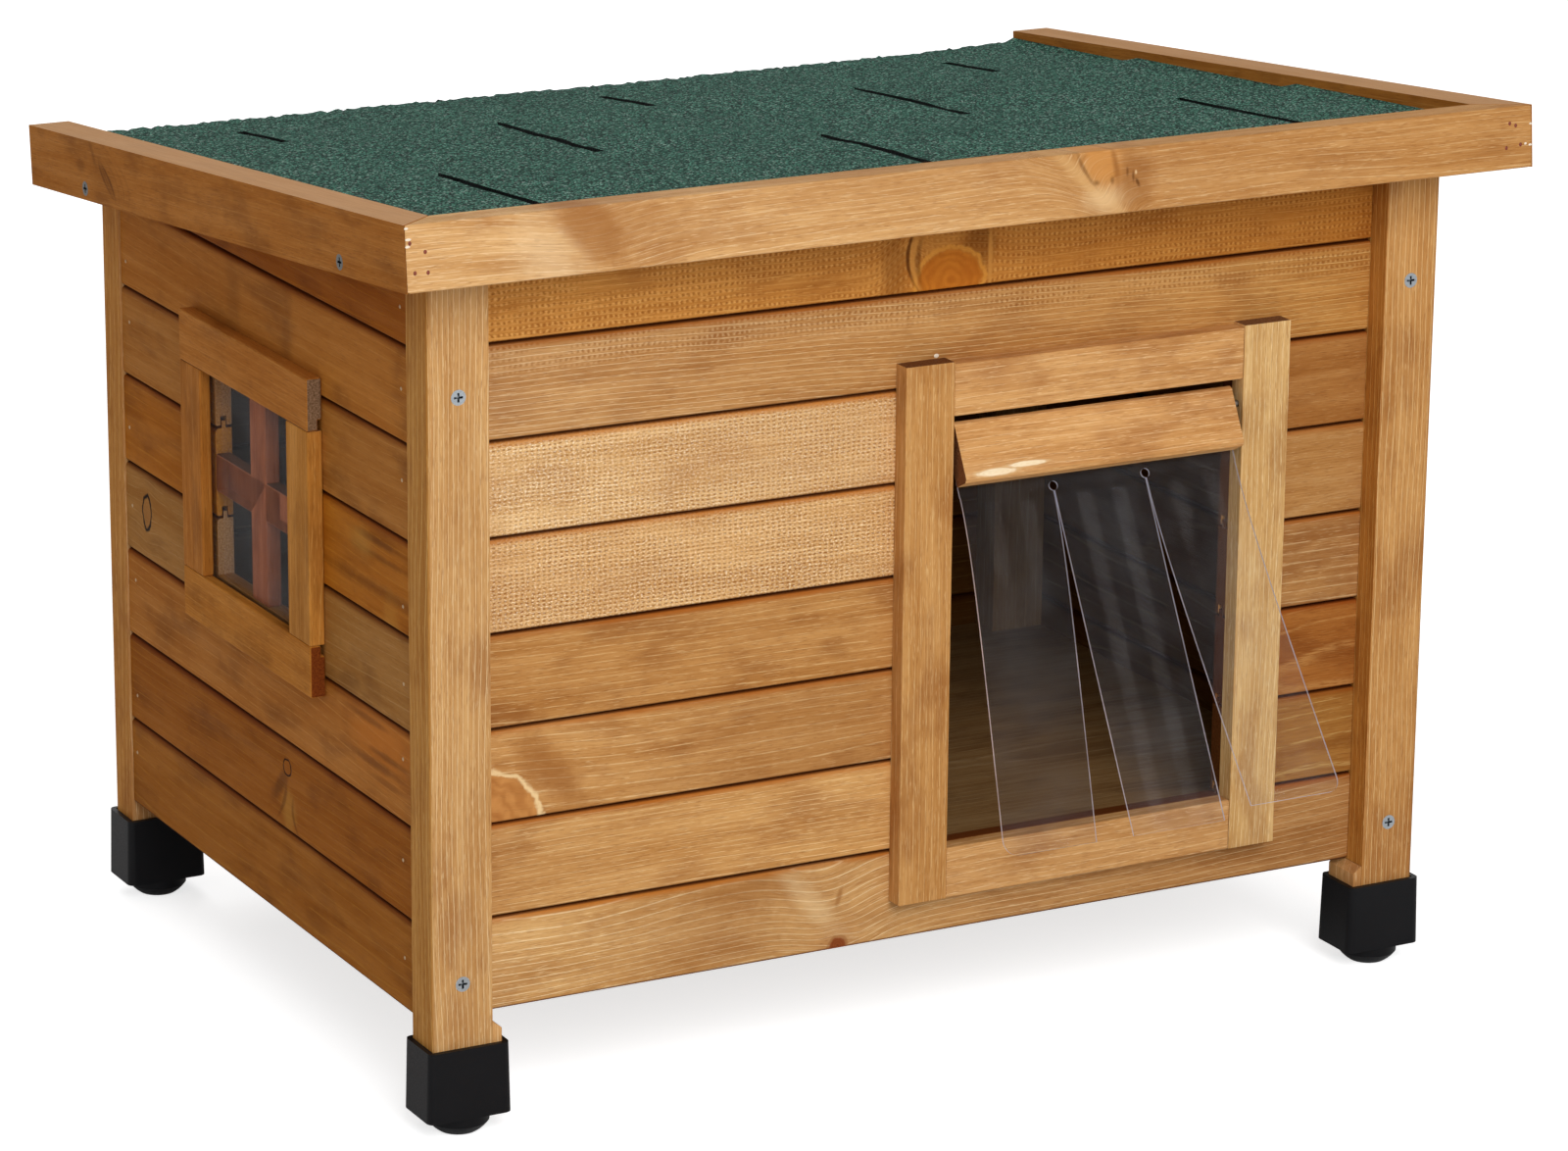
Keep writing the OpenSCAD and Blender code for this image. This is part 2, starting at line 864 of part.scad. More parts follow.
module roof_screw_places() {
    for (place = batten_places)
        translate([-roof_width / 2, place, -deck_under - batten_thickness / 2])
            rotate([0, -90, 0])
                children();
}

module roof_trim() {
    half = roof_width / 2;
    color(wood)
        difference() {
            translate([0, 0, -fascia_height])
                linear_extrude(fascia_height)
                    polygon([
                        [-half, 0], [-roof_inner, fascia_thickness],
                        [-roof_inner, roof_length], [-half, roof_length]
                    ]);
            roof_screw_places()
                screw(screw_head, screw_shank, screw_length, pin_gap);
        }
}

module roof_battens() {
    color(dark_wood)
        on_roof()
            difference() {
                for (place = batten_places)
                    block([-roof_inner, place - batten_width / 2, -deck_under - batten_thickness],
                          [roof_inner, place + batten_width / 2, -deck_under]);
                both_sides()
                    roof_screw_places()
                        screw(screw_head, screw_shank, screw_length, pin_gap);
            }
}

module roof_screws() {
    color(zinc)
        on_roof()
            both_sides()
                roof_screw_places()
                    cut_screw(screw_head, screw_shank, screw_length);
}

// Hinges

// One stretch of a hinge's knuckle, from one x to another
module knuckle(from_x, to_x, bore) {
    translate([from_x, axis_y, axis_z])
        rotate([0, 90, 0])
            difference() {
                cylinder(h = to_x - from_x, d = knuckle_diameter);
                translate([0, 0, -beyond])
                    cylinder(h = to_x - from_x + 2 * beyond, d = bore);
            }
}

knuckle_step = hinge_length / 3;
pin_bore = hinge_pin_diameter + 2 * pin_gap;

module pin_clearance() {
    translate([-hinge_x - hinge_length, axis_y, axis_z])
        rotate([0, 90, 0])
            cylinder(h = 2 * hinge_length, d = pin_bore);
}

module hinge_wall_leaf() {
    left = -hinge_x - hinge_length / 2;
    difference() {
        union() {
            difference() {
                block([left, back_y, axis_z - hinge_leaf],
                      [left + hinge_length, back_y + leaf_thickness, axis_z]);
                block([left + knuckle_step - slide_gap, back_y - beyond, axis_z - axis_offset - slide_gap],
                      [left + 2 * knuckle_step + slide_gap, axis_y + axis_offset, axis_z + beyond]);
            }
            knuckle(left, left + knuckle_step - slide_gap, pin_bore);
            knuckle(left + 2 * knuckle_step + slide_gap, left + hinge_length, pin_bore);
        }
        pin_clearance();
        hinge_wall_screw_places()
            screw(hinge_screw_head, hinge_screw_shank, hinge_screw_length, pin_gap);
    }
}

module hinge_wall_leaves() {
    color(zinc)
        both_sides()
            hinge_wall_leaf();
}

module hinge_pins() {
    color(zinc)
        both_sides()
            translate([-hinge_x - hinge_length / 2, axis_y, axis_z])
                rotate([0, 90, 0])
                    cylinder(h = hinge_length, d = hinge_pin_diameter);
}

module hinge_roof_leaf() {
    left = -hinge_x - hinge_length / 2;
    near = left + knuckle_step + slide_gap;
    far = left + 2 * knuckle_step - slide_gap;
    difference() {
        union() {
            on_roof()
                block([left, axis_run + axis_offset + slide_gap, -deck_under - leaf_thickness],
                      [left + hinge_length, axis_run + hinge_leaf, -deck_under]);
            on_roof()
                block([near, axis_run, -deck_under - leaf_thickness],
                      [far, axis_run + hinge_leaf, -deck_under]);
            knuckle(near, far, pin_bore);
        }
        pin_clearance();
        on_roof()
            hinge_roof_screw_places()
                screw(hinge_screw_head, hinge_screw_shank, deck_thickness - 1, pin_gap);
    }
}

module hinge_roof_leaves() {
    color(zinc)
        both_sides()
            hinge_roof_leaf();
}

module hinge_wall_screws() {
    color(zinc)
        both_sides()
            hinge_wall_screw_places()
                cut_screw(hinge_screw_head, hinge_screw_shank, hinge_screw_length);
}

module hinge_roof_screws() {
    color(zinc)
        on_roof()
            both_sides()
                hinge_roof_screw_places()
                    cut_screw(hinge_screw_head, hinge_screw_shank, deck_thickness - 1);
}

// Flap

module flap_pin_places() {
    for (bar_end = [bar_left, bar_right])
        translate([bar_end - flap_pin_length / 2, front_y + pivot_back, pivot_z])
            rotate([0, 90, 0])
                children();
}

module flap_bar() {
    edge = 1.5;
    half = bar_thickness / 2;
    color(wood)
        difference() {
            on_flap()
                translate([bar_left, 0, 0])
                    rotate([90, 0, 90])
                        linear_extrude(bar_length)
                            polygon([
                                [-half, edge - bar_below], [edge - half, -bar_below],
                                [half, -bar_below], [half, pivot_drop - edge],
                                [half - edge, pivot_drop], [edge - half, pivot_drop],
                                [-half, pivot_drop - edge]
                            ]);
            flap_pin_places()
                translate([0, 0, -beyond])
                    cylinder(h = flap_pin_length + 2 * beyond, d = flap_pin_diameter + 2 * pin_gap);
        }
}

module flap_pins() {
    color(zinc)
        flap_pin_places()
            cylinder(h = flap_pin_length, d = flap_pin_diameter);
}

sheet_width = bar_length - 1;
sheet_left = bar_left + 0.5;
tongue_width = sheet_width / 3;

module slit_holes() {
    for (slit = [1, 2])
        translate([sheet_left + slit * tongue_width, sheet_thickness, 0])
            rotate([90, 0, 0])
                cylinder(h = 2 * sheet_thickness, d = slit_hole);
}

// The part of the sheet that is fixed behind the bar
module flap_sheet() {
    color(clear)
        on_flap()
            translate([0, sheet_back, -flex_below])
                difference() {
                    block([sheet_left, -sheet_thickness / 2, flex_lift],
                          [sheet_left + sheet_width, sheet_thickness / 2, slit_drop + sheet_overlap]);
                    slit_holes();
                }
}

// One strip below the slit ends, at its own angle
module flap_tongue(index) {
    left = sheet_left + index * tongue_width + slit_width / 2;
    right = left + tongue_width - slit_width;
    outer = index == 0 ? left + tongue_round : right - tongue_round;
    color(clear)
        translate([0, front_y + flex_back, flex_z])
            rotate([-tongue_angles[index], 0, 0])
                difference() {
                    block([left, -sheet_thickness / 2, -tongue_length], [right, sheet_thickness / 2, 0]);
                    slit_holes();
                    if (index != 1)
                        difference() {
                            block([index == 0 ? left - beyond : outer, -sheet_thickness,
                                   -tongue_length - beyond],
                                  [index == 0 ? outer : right + beyond, sheet_thickness,
                                   tongue_round - tongue_length]);
                            translate([outer, sheet_thickness * 2, tongue_round - tongue_length])
                                rotate([90, 0, 0])
                                    cylinder(h = 4 * sheet_thickness, r = tongue_round);
                        }
                }
}

// What is drawn

for (corner = [0 : 3])
    post(corner);
corner_cleats();
for (row = [0 : board_rows - 1])
    front_board(row);
for (row = [0 : board_rows - 1])
    left_board(row);
right_boards();
back_boards();
door_stile(-1);  // door_stile_left
door_stile(1);  // door_stile_right
door_rail_at(door_top);  // door_rail_top
door_rail_at(sill - door_rail);  // door_rail_bottom
window_rail(window_top, false);  // window_rail_top
window_rail(window_bottom - window_strip, true);  // window_rail_bottom
window_stile_at(window_y - window_size / 2 - window_strip, true);  // window_stile_front
window_stile_at(window_y + window_size / 2, false);  // window_stile_back
window_pane();
window_bars();
floor_panel();
floor_ledgers();
leg_caps();
cap_packers();
leg_pads();
post_screws();
hinge_wall_leaves();
hinge_pins();
hinge_roof_leaves();
hinge_wall_screws();
hinge_roof_screws();
roof_boards();
for (index = [0 : 2])
    shingle_course(index);
roof_fascia();
on_roof() roof_trim();  // roof_trim_left
on_roof() mirror([1, 0, 0]) roof_trim();  // roof_trim_right
roof_battens();
roof_screws();
flap_bar();
flap_pins();
flap_sheet();
for (index = [0 : 2])
    flap_tongue(index);
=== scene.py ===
import json
import math
import random
from collections import namedtuple

import bmesh
import bpy
from mathutils import Matrix, Vector, noise


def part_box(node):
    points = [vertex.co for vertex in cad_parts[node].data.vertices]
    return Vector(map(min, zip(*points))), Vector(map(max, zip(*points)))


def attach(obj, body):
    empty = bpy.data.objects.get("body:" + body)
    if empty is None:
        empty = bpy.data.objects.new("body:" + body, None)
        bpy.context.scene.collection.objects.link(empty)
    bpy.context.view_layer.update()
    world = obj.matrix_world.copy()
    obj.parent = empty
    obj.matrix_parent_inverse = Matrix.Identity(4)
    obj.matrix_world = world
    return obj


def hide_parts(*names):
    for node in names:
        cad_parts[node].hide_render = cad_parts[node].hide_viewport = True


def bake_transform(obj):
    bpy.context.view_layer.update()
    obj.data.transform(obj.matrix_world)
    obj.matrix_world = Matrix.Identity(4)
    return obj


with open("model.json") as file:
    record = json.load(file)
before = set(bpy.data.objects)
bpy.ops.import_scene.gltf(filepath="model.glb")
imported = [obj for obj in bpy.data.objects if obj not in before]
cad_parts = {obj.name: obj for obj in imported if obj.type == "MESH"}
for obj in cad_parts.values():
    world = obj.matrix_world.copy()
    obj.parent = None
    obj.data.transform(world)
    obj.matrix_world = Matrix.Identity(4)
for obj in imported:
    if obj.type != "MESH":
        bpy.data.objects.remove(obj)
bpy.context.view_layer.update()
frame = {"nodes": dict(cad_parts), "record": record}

X, Y, Z = 0, 1, 2
MM = 1000


def side(node, end, axis):
    """The low (0) or high (1) side of a CAD node along an axis, in metres to a micrometre."""
    return round(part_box(node)[end][axis], 6)


# The walls, in metres
FRONT = side("post_front_left", 0, Y)
BACK = side("post_back_left", 1, Y)
POST_DEPTH = side("post_front_left", 1, Y) - FRONT
LEFT_FACE = side("left_board_1", 0, X)
LEFT_MIDDLE = -0.254  # x amid the left boards
WALL_LOW = side("front_board_1", 0, Z)
PITCH = side("front_board_3", 0, Z) - side("front_board_2", 0, Z)
ROWS = 8
OFFCUTS = 0.08        # right of this x, the doorway leaves short boards in the front

# The roof's top front edge and slope, and the flap's pivot and tilt
ROOF_FRONT = FRONT - 0.0336
ROOF_TOP = side("roof_fascia", 1, Z)
SLOPE = math.radians(5.25)
joints = {joint["name"]: joint for joint in frame["record"]["behaviour"]["joints"]}
PIVOT = Vector(joints["flap_hinge"]["pos_m"])
TILT = math.radians(27.3)


def srgb(r, g, b):
    """A linear colour from sRGB levels."""
    def linear(level):
        level /= 255
        return level / 12.92 if level <= 0.04045 else ((level + 0.055) / 1.055) ** 2.4
    return (linear(r), linear(g), linear(b), 1.0)


class Value:
    """A node's output, which takes part in sums."""

    def __init__(self, nodes, socket):
        self.nodes = nodes
        self.socket = socket

    def __add__(self, other):
        return self.nodes.math("ADD", self, other)

    def __radd__(self, other):
        return self.nodes.math("ADD", other, self)

    def __sub__(self, other):
        return self.nodes.math("SUBTRACT", self, other)

    def __rsub__(self, other):
        return self.nodes.math("SUBTRACT", other, self)

    def __mul__(self, other):
        return self.nodes.math("MULTIPLY", self, other)

    def __truediv__(self, other):
        return self.nodes.math("DIVIDE", self, other)


class Nodes:
    """A node tree that is written as plain expressions."""

    def __init__(self, tree):
        self.tree = tree
        tree.nodes.clear()

    def new(self, kind, **settings):
        node = self.tree.nodes.new("ShaderNode" + kind)
        for key, value in settings.items():
            setattr(node, key, value)
        return node

    def put(self, node, **values):
        """Link or set inputs of a node, whose names have _ in place of a space."""
        for key, value in values.items():
            self.link(node.inputs[key.replace("_", " ")], value)

    def link(self, socket, value):
        """Link a value to a socket, or set the socket to a number or a colour."""
        if isinstance(value, Value):
            self.tree.links.new(value.socket, socket)
        else:
            socket.default_value = value

    def out(self, node, key=0):
        return Value(self, node.outputs[key])

    def of(self, node, *values):
        """The first output of a node whose inputs take the values in turn."""
        for socket, value in zip(node.inputs, values):
            self.link(socket, value)
        return self.out(node)

    def math(self, operation, *values):
        return self.of(self.new("Math", operation=operation), *values)

    def sine(self, value):
        return self.math("SINE", value)

    def size(self, value):
        return self.math("ABSOLUTE", value)

    def root(self, value):
        return self.math("SQRT", value)

    def vec(self, x, y, z):
        return self.of(self.new("CombineXYZ"), x, y, z)

    def split(self, vector):
        node = self.new("SeparateXYZ")
        self.link(node.inputs[0], vector)
        return [self.out(node, axis) for axis in (X, Y, Z)]

    def turned(self, vector, centre, angle):
        """A vector turned about a line along X."""
        node = self.new("VectorRotate", rotation_type="X_AXIS")
        self.put(node, Vector=vector, Center=centre, Angle=angle)
        return self.out(node)

    def noise(self, vector, scale=1.0, detail=2.0, rough=0.5):
        node = self.new("TexNoise")
        self.put(node, Vector=vector, Scale=scale, Detail=detail, Roughness=rough)
        return self.out(node, "Fac")

    def random(self, value):
        node = self.new("TexWhiteNoise", noise_dimensions="1D")
        self.put(node, W=value)
        return self.out(node, "Value")

    def span(self, value, low, high, to_low=0.0, to_high=1.0, smooth=False):
        """The value's way from low to high, kept between to_low and to_high."""
        kind = "SMOOTHSTEP" if smooth else "LINEAR"
        node = self.new("MapRange", interpolation_type=kind, clamp=True)
        self.put(node, Value=value, From_Min=low, From_Max=high, To_Min=to_low, To_Max=to_high)
        return self.out(node, "Result")

    def mix(self, share, a, b, blend="MIX"):
        node = self.new("Mix", data_type="RGBA", blend_type=blend)
        for socket, value in ((0, share), (6, a), (7, b)):
            self.link(node.inputs[socket], value)
        return self.out(node, 2)


class Graph(Nodes):
    """A material with one Principled shader, whose place is in millimetres."""

    def __init__(self, name):
        self.mat = bpy.data.materials.new(name)
        self.mat.use_nodes = True
        super().__init__(self.mat.node_tree)
        out = self.new("OutputMaterial")
        self.bsdf = self.new("BsdfPrincipled")
        self.put(out, Surface=self.out(self.bsdf, "BSDF"))
        tex = self.new("TexCoord")
        self.normal = self.out(tex, "Normal")
        scale = self.new("VectorMath", operation="SCALE")
        self.link(scale.inputs[0], self.out(tex, "Object"))
        self.put(scale, Scale=MM)
        self.at = self.out(scale)

    def shade(self, **values):
        """Link or set inputs of the shader, and give the material."""
        self.put(self.bsdf, **values)
        return self.mat

    def bump(self, height, strength, distance):
        node = self.new("Bump")
        self.put(node, Strength=strength, Distance=distance, Height=height)
        self.shade(Normal=self.out(node, "Normal"))


# Stains: pale latewood, light, middle and deep wood, and the orange of pooled stain
HONEY = (srgb(246, 212, 162), srgb(210, 158, 99), srgb(190, 135, 77), srgb(148, 90, 44), srgb(176, 100, 34))
# The second stain, for faces that look to the sides and the back, is the honey wood darkened and made more
# orange with painted shade.
SHADED_STAIN = (srgb(198, 138, 70), srgb(182, 116, 48), srgb(166, 100, 36), srgb(118, 66, 20), srgb(122, 60, 12))
RUSSET = (srgb(204, 132, 92), srgb(188, 112, 74), srgb(166, 94, 60), srgb(112, 58, 36), srgb(96, 46, 28))
RAW = (srgb(224, 190, 146), srgb(204, 166, 118), srgb(186, 144, 94), srgb(140, 98, 58), srgb(170, 120, 70))

# Knots: heart, its rings, the rim and its strength, and how much the grain sweeps round
EYE = (srgb(206, 138, 62), srgb(178, 108, 42), srgb(226, 172, 96), 0.75, 0.5)
RING = (srgb(176, 110, 46), srgb(158, 94, 36), srgb(34, 18, 10), 1.0, 0.3)
STUB = (srgb(140, 70, 32), srgb(112, 54, 26), srgb(150, 90, 44), 0.5, 0.8)
SWIRL = (srgb(206, 144, 82), srgb(168, 104, 50), srgb(246, 214, 164), 0.85, 0.25)
FILLER = (srgb(242, 222, 188), srgb(228, 200, 156), srgb(214, 176, 126), 0.4, 0.1)

DARK, BROWNED, TAN, CREAM = srgb(96, 54, 20), srgb(150, 92, 42), srgb(214, 166, 108), srgb(240, 204, 154)

# Marks on a board, in millimetres along it (u) and across it (v). A knot and a soft mark have
# half axes a and b. A fold is a line where the grain dips. A slant or a bend moves a mark or a
# fold along the board as it goes across.
Knot = namedtuple("Knot", "u v a b look")
Fold = namedtuple("Fold", "u v reach dip slant", defaults=(0,))
Mark = namedtuple("Mark", "u v a b shade amount soft slant bend", defaults=(0.8, 0, 0))

# Saw marks: the spacing of the teeth's marks, of the threads and of the bands
TOOTH, THREAD, BAND = 2.7, 1.9, 2.8
WAVE = 2 * math.pi


class Wood(Graph):
    """Stained spruce. u, v and w run along, across and into the grain, in millimetres."""

    def __init__(self, name, axes, seed, stain, centre, turn):
        super().__init__(name)
        self.rnd = random.Random(seed)
        self.pale, self.light, self.middle, self.deep, self.pooled = stain
        if turn:
            self.at = self.turned(self.at, *turn)
            self.normal = self.turned(self.normal, (0, 0, 0), turn[1])
        at = self.split(self.at)
        self.u, self.v, self.w = (at[axis] for axis in axes)
        self.mid_v, self.mid_w = (centre[axis] * MM for axis in axes[1:])
        self.in_row = self.v - self.mid_v
        self.past = 0.0

    def over(self, cover, colour):
        """Lay a colour over what is there."""
        self.colour = self.mix(cover, self.colour, colour)

    def tone(self, tone, fade):
        """The tone, which may go over to a second tone along a front board: painted light and sheen that
        change from its left to its right.
        """
        self.tint = (tone if isinstance(tone, tuple) else (tone, tone, tone)) + (1,)
        if fade:
            self.tint = self.mix(self.span(self.u, -240, 240), self.tint, fade + (1,))

    def offcut(self, tone):
        """Another piece of board right of the doorway, with grain of its own and a tone that is its own
        with painted shade.
        """
        self.past = self.math("GREATER_THAN", self.u, OFFCUTS * MM)
        self.u += self.past * 1700.0
        self.w += self.past * 90.0
        self.tint = self.mix(self.past, self.tint, tone + (1,))

    def repeat(self, pitch, seed):
        """Rows of boards in one piece, each with grain and tone of its own."""
        row = self.math("FLOOR", (self.v - WALL_LOW * MM) / pitch)
        self.in_row = self.v - (WALL_LOW * MM + pitch / 2 + row * pitch)
        self.u += self.random(row + seed * 7.31) * 900.0
        self.w += self.random(row + seed * 2.9) * 400.0
        pick = 0.9 + self.random(row + seed * 3.7) * 0.2
        self.tint = self.vec(pick, pick, pick)

    def bend(self, folds, knots):
        """Bend the grain at the folds and round the knots."""
        self.plain_u, self.plain_v = self.u, self.v
        self.knots = []
        for fold in folds:
            off = (self.u - fold.u - (self.plain_v - fold.v) * fold.slant) / fold.reach
            self.v += self.math("EXPONENT", off * off * -1.0) * fold.dip
        for knot in knots:
            du = (self.u - knot.u) / knot.a
            dv = (self.plain_v - knot.v) / knot.b
            square = du * du + dv * dv
            pull = self.math("EXPONENT", square * -0.3)
            self.v -= (self.plain_v - knot.v) * pull * knot.look[-1]
            halo = self.math("EXPONENT", square * -0.22)
            self.knots.append((self.root(square), halo, knot))

    def grow(self, gap, lean):
        """Growth lines: the distance to a far pith, swaying a little along the board."""
        rnd = self.rnd
        us = self.u + rnd.uniform(0, 4000)
        vs = self.v + rnd.uniform(0, 400)
        ws = self.w + rnd.uniform(0, 400)

        def stretched(along, cross, detail=3.0, rough=0.6):
            return self.noise(self.vec(us * along, vs * cross, ws * cross), 1.0, detail, rough)

        pith_v = self.mid_v + rnd.choice((-1, 1)) * rnd.uniform(22, 60)
        pith_w = self.mid_w + rnd.choice((-1, 1)) * rnd.uniform(18, 40)
        lean = rnd.uniform(-0.025, 0.025) if lean is None else lean
        rv = self.v - pith_v - self.u * lean
        rw = self.w - pith_w
        sway = stretched(0.0035, 0.010, 2.0, 0.5) * 15.0
        wobble = stretched(0.016, 0.06, 2.0, 0.5) * 1.2
        self.ring = (self.root(rv * rv + rw * rw) + (sway + wobble)) / gap
        self.dashes = stretched(0.11, 1.3, 2.0)
        self.fibre = stretched(0.035, 1.7)
        self.streak = stretched(0.010, 0.12)
        self.cloud = stretched(0.022, 0.045, 3.0, 0.55)
        self.tick = self.span(stretched(0.16, 2.0, 1.0, 0.5), 0.60, 0.70)
        self.glint = self.span(stretched(0.16, 2.4, 1.0, 0.5), 0.36, 0.28)

    def paint(self, lines, whole, clouds, fine):
        """Streaks, clouds, fibres and growth lines."""
        step = self.math("FRACT", self.ring + 100.0)
        line = self.span(step, 0.76, 0.86, smooth=True) * self.span(step, 0.87, 0.95, 1.0, 0.0, True)
        line *= self.span(self.dashes, 0.38 - whole, 0.54 - whole)
        self.colour = self.mix(self.span(self.streak, 0.34, 0.66), self.light, self.middle)
        self.over(self.span(self.cloud, 0.46, 0.72, smooth=True) * (0.55 * clouds), self.deep)
        self.over(self.span(self.fibre, 0.50, 0.72) * (0.30 * fine), self.deep)
        self.over(self.span(self.fibre, 0.50, 0.30) * (0.14 * fine), self.pale)
        self.over(line * (0.85 * lines), self.pale)
        self.over(self.tick * (0.34 * fine), self.deep)
        self.over(self.glint * (0.38 * fine), self.pale)
        self.height = line * (0.8 * lines) + (self.fibre + self.tick) * -0.6

    def saw(self, weave, chatter, marked):
        """A rough-sawn face: a weave of torn threads, or chatter marks above marked."""
        u, v = self.u, self.v
        bend_u = self.noise(self.vec(u * 0.07, v * 0.2, 0.0), 1.0, 3.0, 0.7) * 9.0
        bend_v = self.noise(self.vec(u * 0.09, v * 0.06, 7.0), 1.0, 3.0, 0.7) * 8.0
        teeth = self.sine(u * (WAVE / TOOTH) + bend_u)
        patch = self.noise(self.vec(u * 0.02, v * 0.07, 2.0), 1.0, 2.0)
        torn = self.noise(self.vec(u * 0.42, v * 0.62, 3.0), 1.0, 3.0, 0.7)
        if weave:
            threads = self.sine(v * (WAVE / THREAD) + bend_v)
            flecks = self.noise(self.vec(u * 0.9, v * 1.5, 5.0), 1.0, 2.0, 0.6)
            amount = self.span(patch, 0.3, 0.6, 0.45 * weave, weave)
            if self.past:
                amount *= 1.0 - self.past
            dash = self.span(threads, 0.0, 0.8) * self.span(teeth, -0.5, 0.4) * self.span(torn, 0.32, 0.46)
            thread = self.span(threads, 0.1, -0.8) * self.span(flecks, 0.46, 0.60)
            self.over(dash, self.mix(amount, self.colour, srgb(146, 88, 40)))
            self.over(thread * (amount * 0.55), self.pale)
            self.over(self.span(flecks, 0.56, 0.66) * (amount * 0.45), srgb(252, 236, 206))
            self.height += (thread - dash) * (amount * 1.2)
        if chatter:
            band = self.span(self.sine(v * (WAVE / BAND) + bend_v), -0.4, 0.5)
            chatter_patches = self.span(patch, 0.34, 0.5) * self.span(torn, 0.34, 0.5)
            chatter_patches *= self.span(self.in_row, marked - 3, marked + 3)
            # The dark half of each chatter mark, dented by the bump, is painted shade, and the pale half a
            # painted highlight.
            mark = self.span(teeth, 0.0, 0.9) * (band * chatter_patches)
            lit = self.span(teeth, -0.1, -0.9) * (band * chatter_patches)
            self.over(mark * (0.62 * chatter), self.deep)
            self.over(lit * (0.35 * chatter), self.pale)
            self.height -= mark * (0.9 * chatter)

    def smudge(self, marks):
        """Soft patches of colour with uneven edges."""
        rough = self.noise(self.at, 0.16, 3.0, 0.6) - 0.5
        for mark in marks:
            dv = (self.plain_v - mark.v) / mark.b
            shift = (self.plain_v - mark.v) * mark.slant + dv * dv * mark.bend
            du = (self.plain_u - mark.u - shift) / mark.a
            reach = self.root(du * du + dv * dv) + rough * (1.6 * mark.soft)
            cover = self.span(reach, 1.0 - mark.soft, 1.0 + mark.soft, 1.0, 0.0, True)
            self.over(cover * mark.amount, mark.shade)

    def pool(self, half):
        """Stain that has pooled along a board's upper edge, and painted shade in the dark line where boards
        meet.
        """
        edge = self.span(self.in_row, half - 4.2, half - 1.1, smooth=True)
        self.over(edge * self.span(self.streak, 0.3, 0.6, 0.55, 0.95), self.pooled)
        # Painted shade in the gap where the boards meet.
        seam_shade = self.span(self.size(self.in_row), half - 1.4, half - 0.5, smooth=True)
        self.over(seam_shade * 0.9, srgb(84, 36, 10))

    def draw_knots(self):
        for reach, halo, knot in self.knots:
            heart_light, heart_dark, rim, strength, sweep = knot.look
            rings = self.sine(reach * 26.0 + self.noise(self.at, 0.12) * 12.0)
            heart = self.mix(self.span(rings, -0.8, 1.0, 0.0, 0.45), heart_light, heart_dark)
            blotch = self.span(self.noise(self.at, 0.09), 0.4, 0.65, 0.0, 0.5)
            heart = self.mix(blotch, heart, heart_dark)
            heart = self.mix(self.span(reach, 0.0, 0.16, 0.7, 0.0), heart, heart_dark)
            thin = min(0.16, 1.8 / knot.a)
            uneven = reach + (self.noise(self.at, 0.2) - 0.5) * (3.0 * thin)
            self.over(halo * (0.5 * sweep), heart_light)
            self.over(self.span(uneven, 1 - 2 * thin, 1.02, 1.0, 0.0, True), heart)
            band = (self.span(uneven, 1 - 1.3 * thin, 1 - 0.4 * thin, smooth=True)
                    * self.span(uneven, 1.0, 1 + thin, 1.0, 0.0, True))
            self.over(band * strength, rim)
            self.height -= band * 0.8

    def cut_ends(self, facing, ends):
        """End grain, which is darker, redder and rough."""
        end = self.span(self.size(facing), 0.75, 0.95, smooth=True)
        pores = self.noise(self.vec(self.v * 1.1, self.w * 1.1, 1.0), 1.0, 3.0, 0.7)
        self.over(end, self.mix(self.span(pores, 0.35, 0.65), *ends))
        self.height += end * pores * 2.0

    def times(self, colour):
        return self.mix(1.0, self.colour, colour, "MULTIPLY")


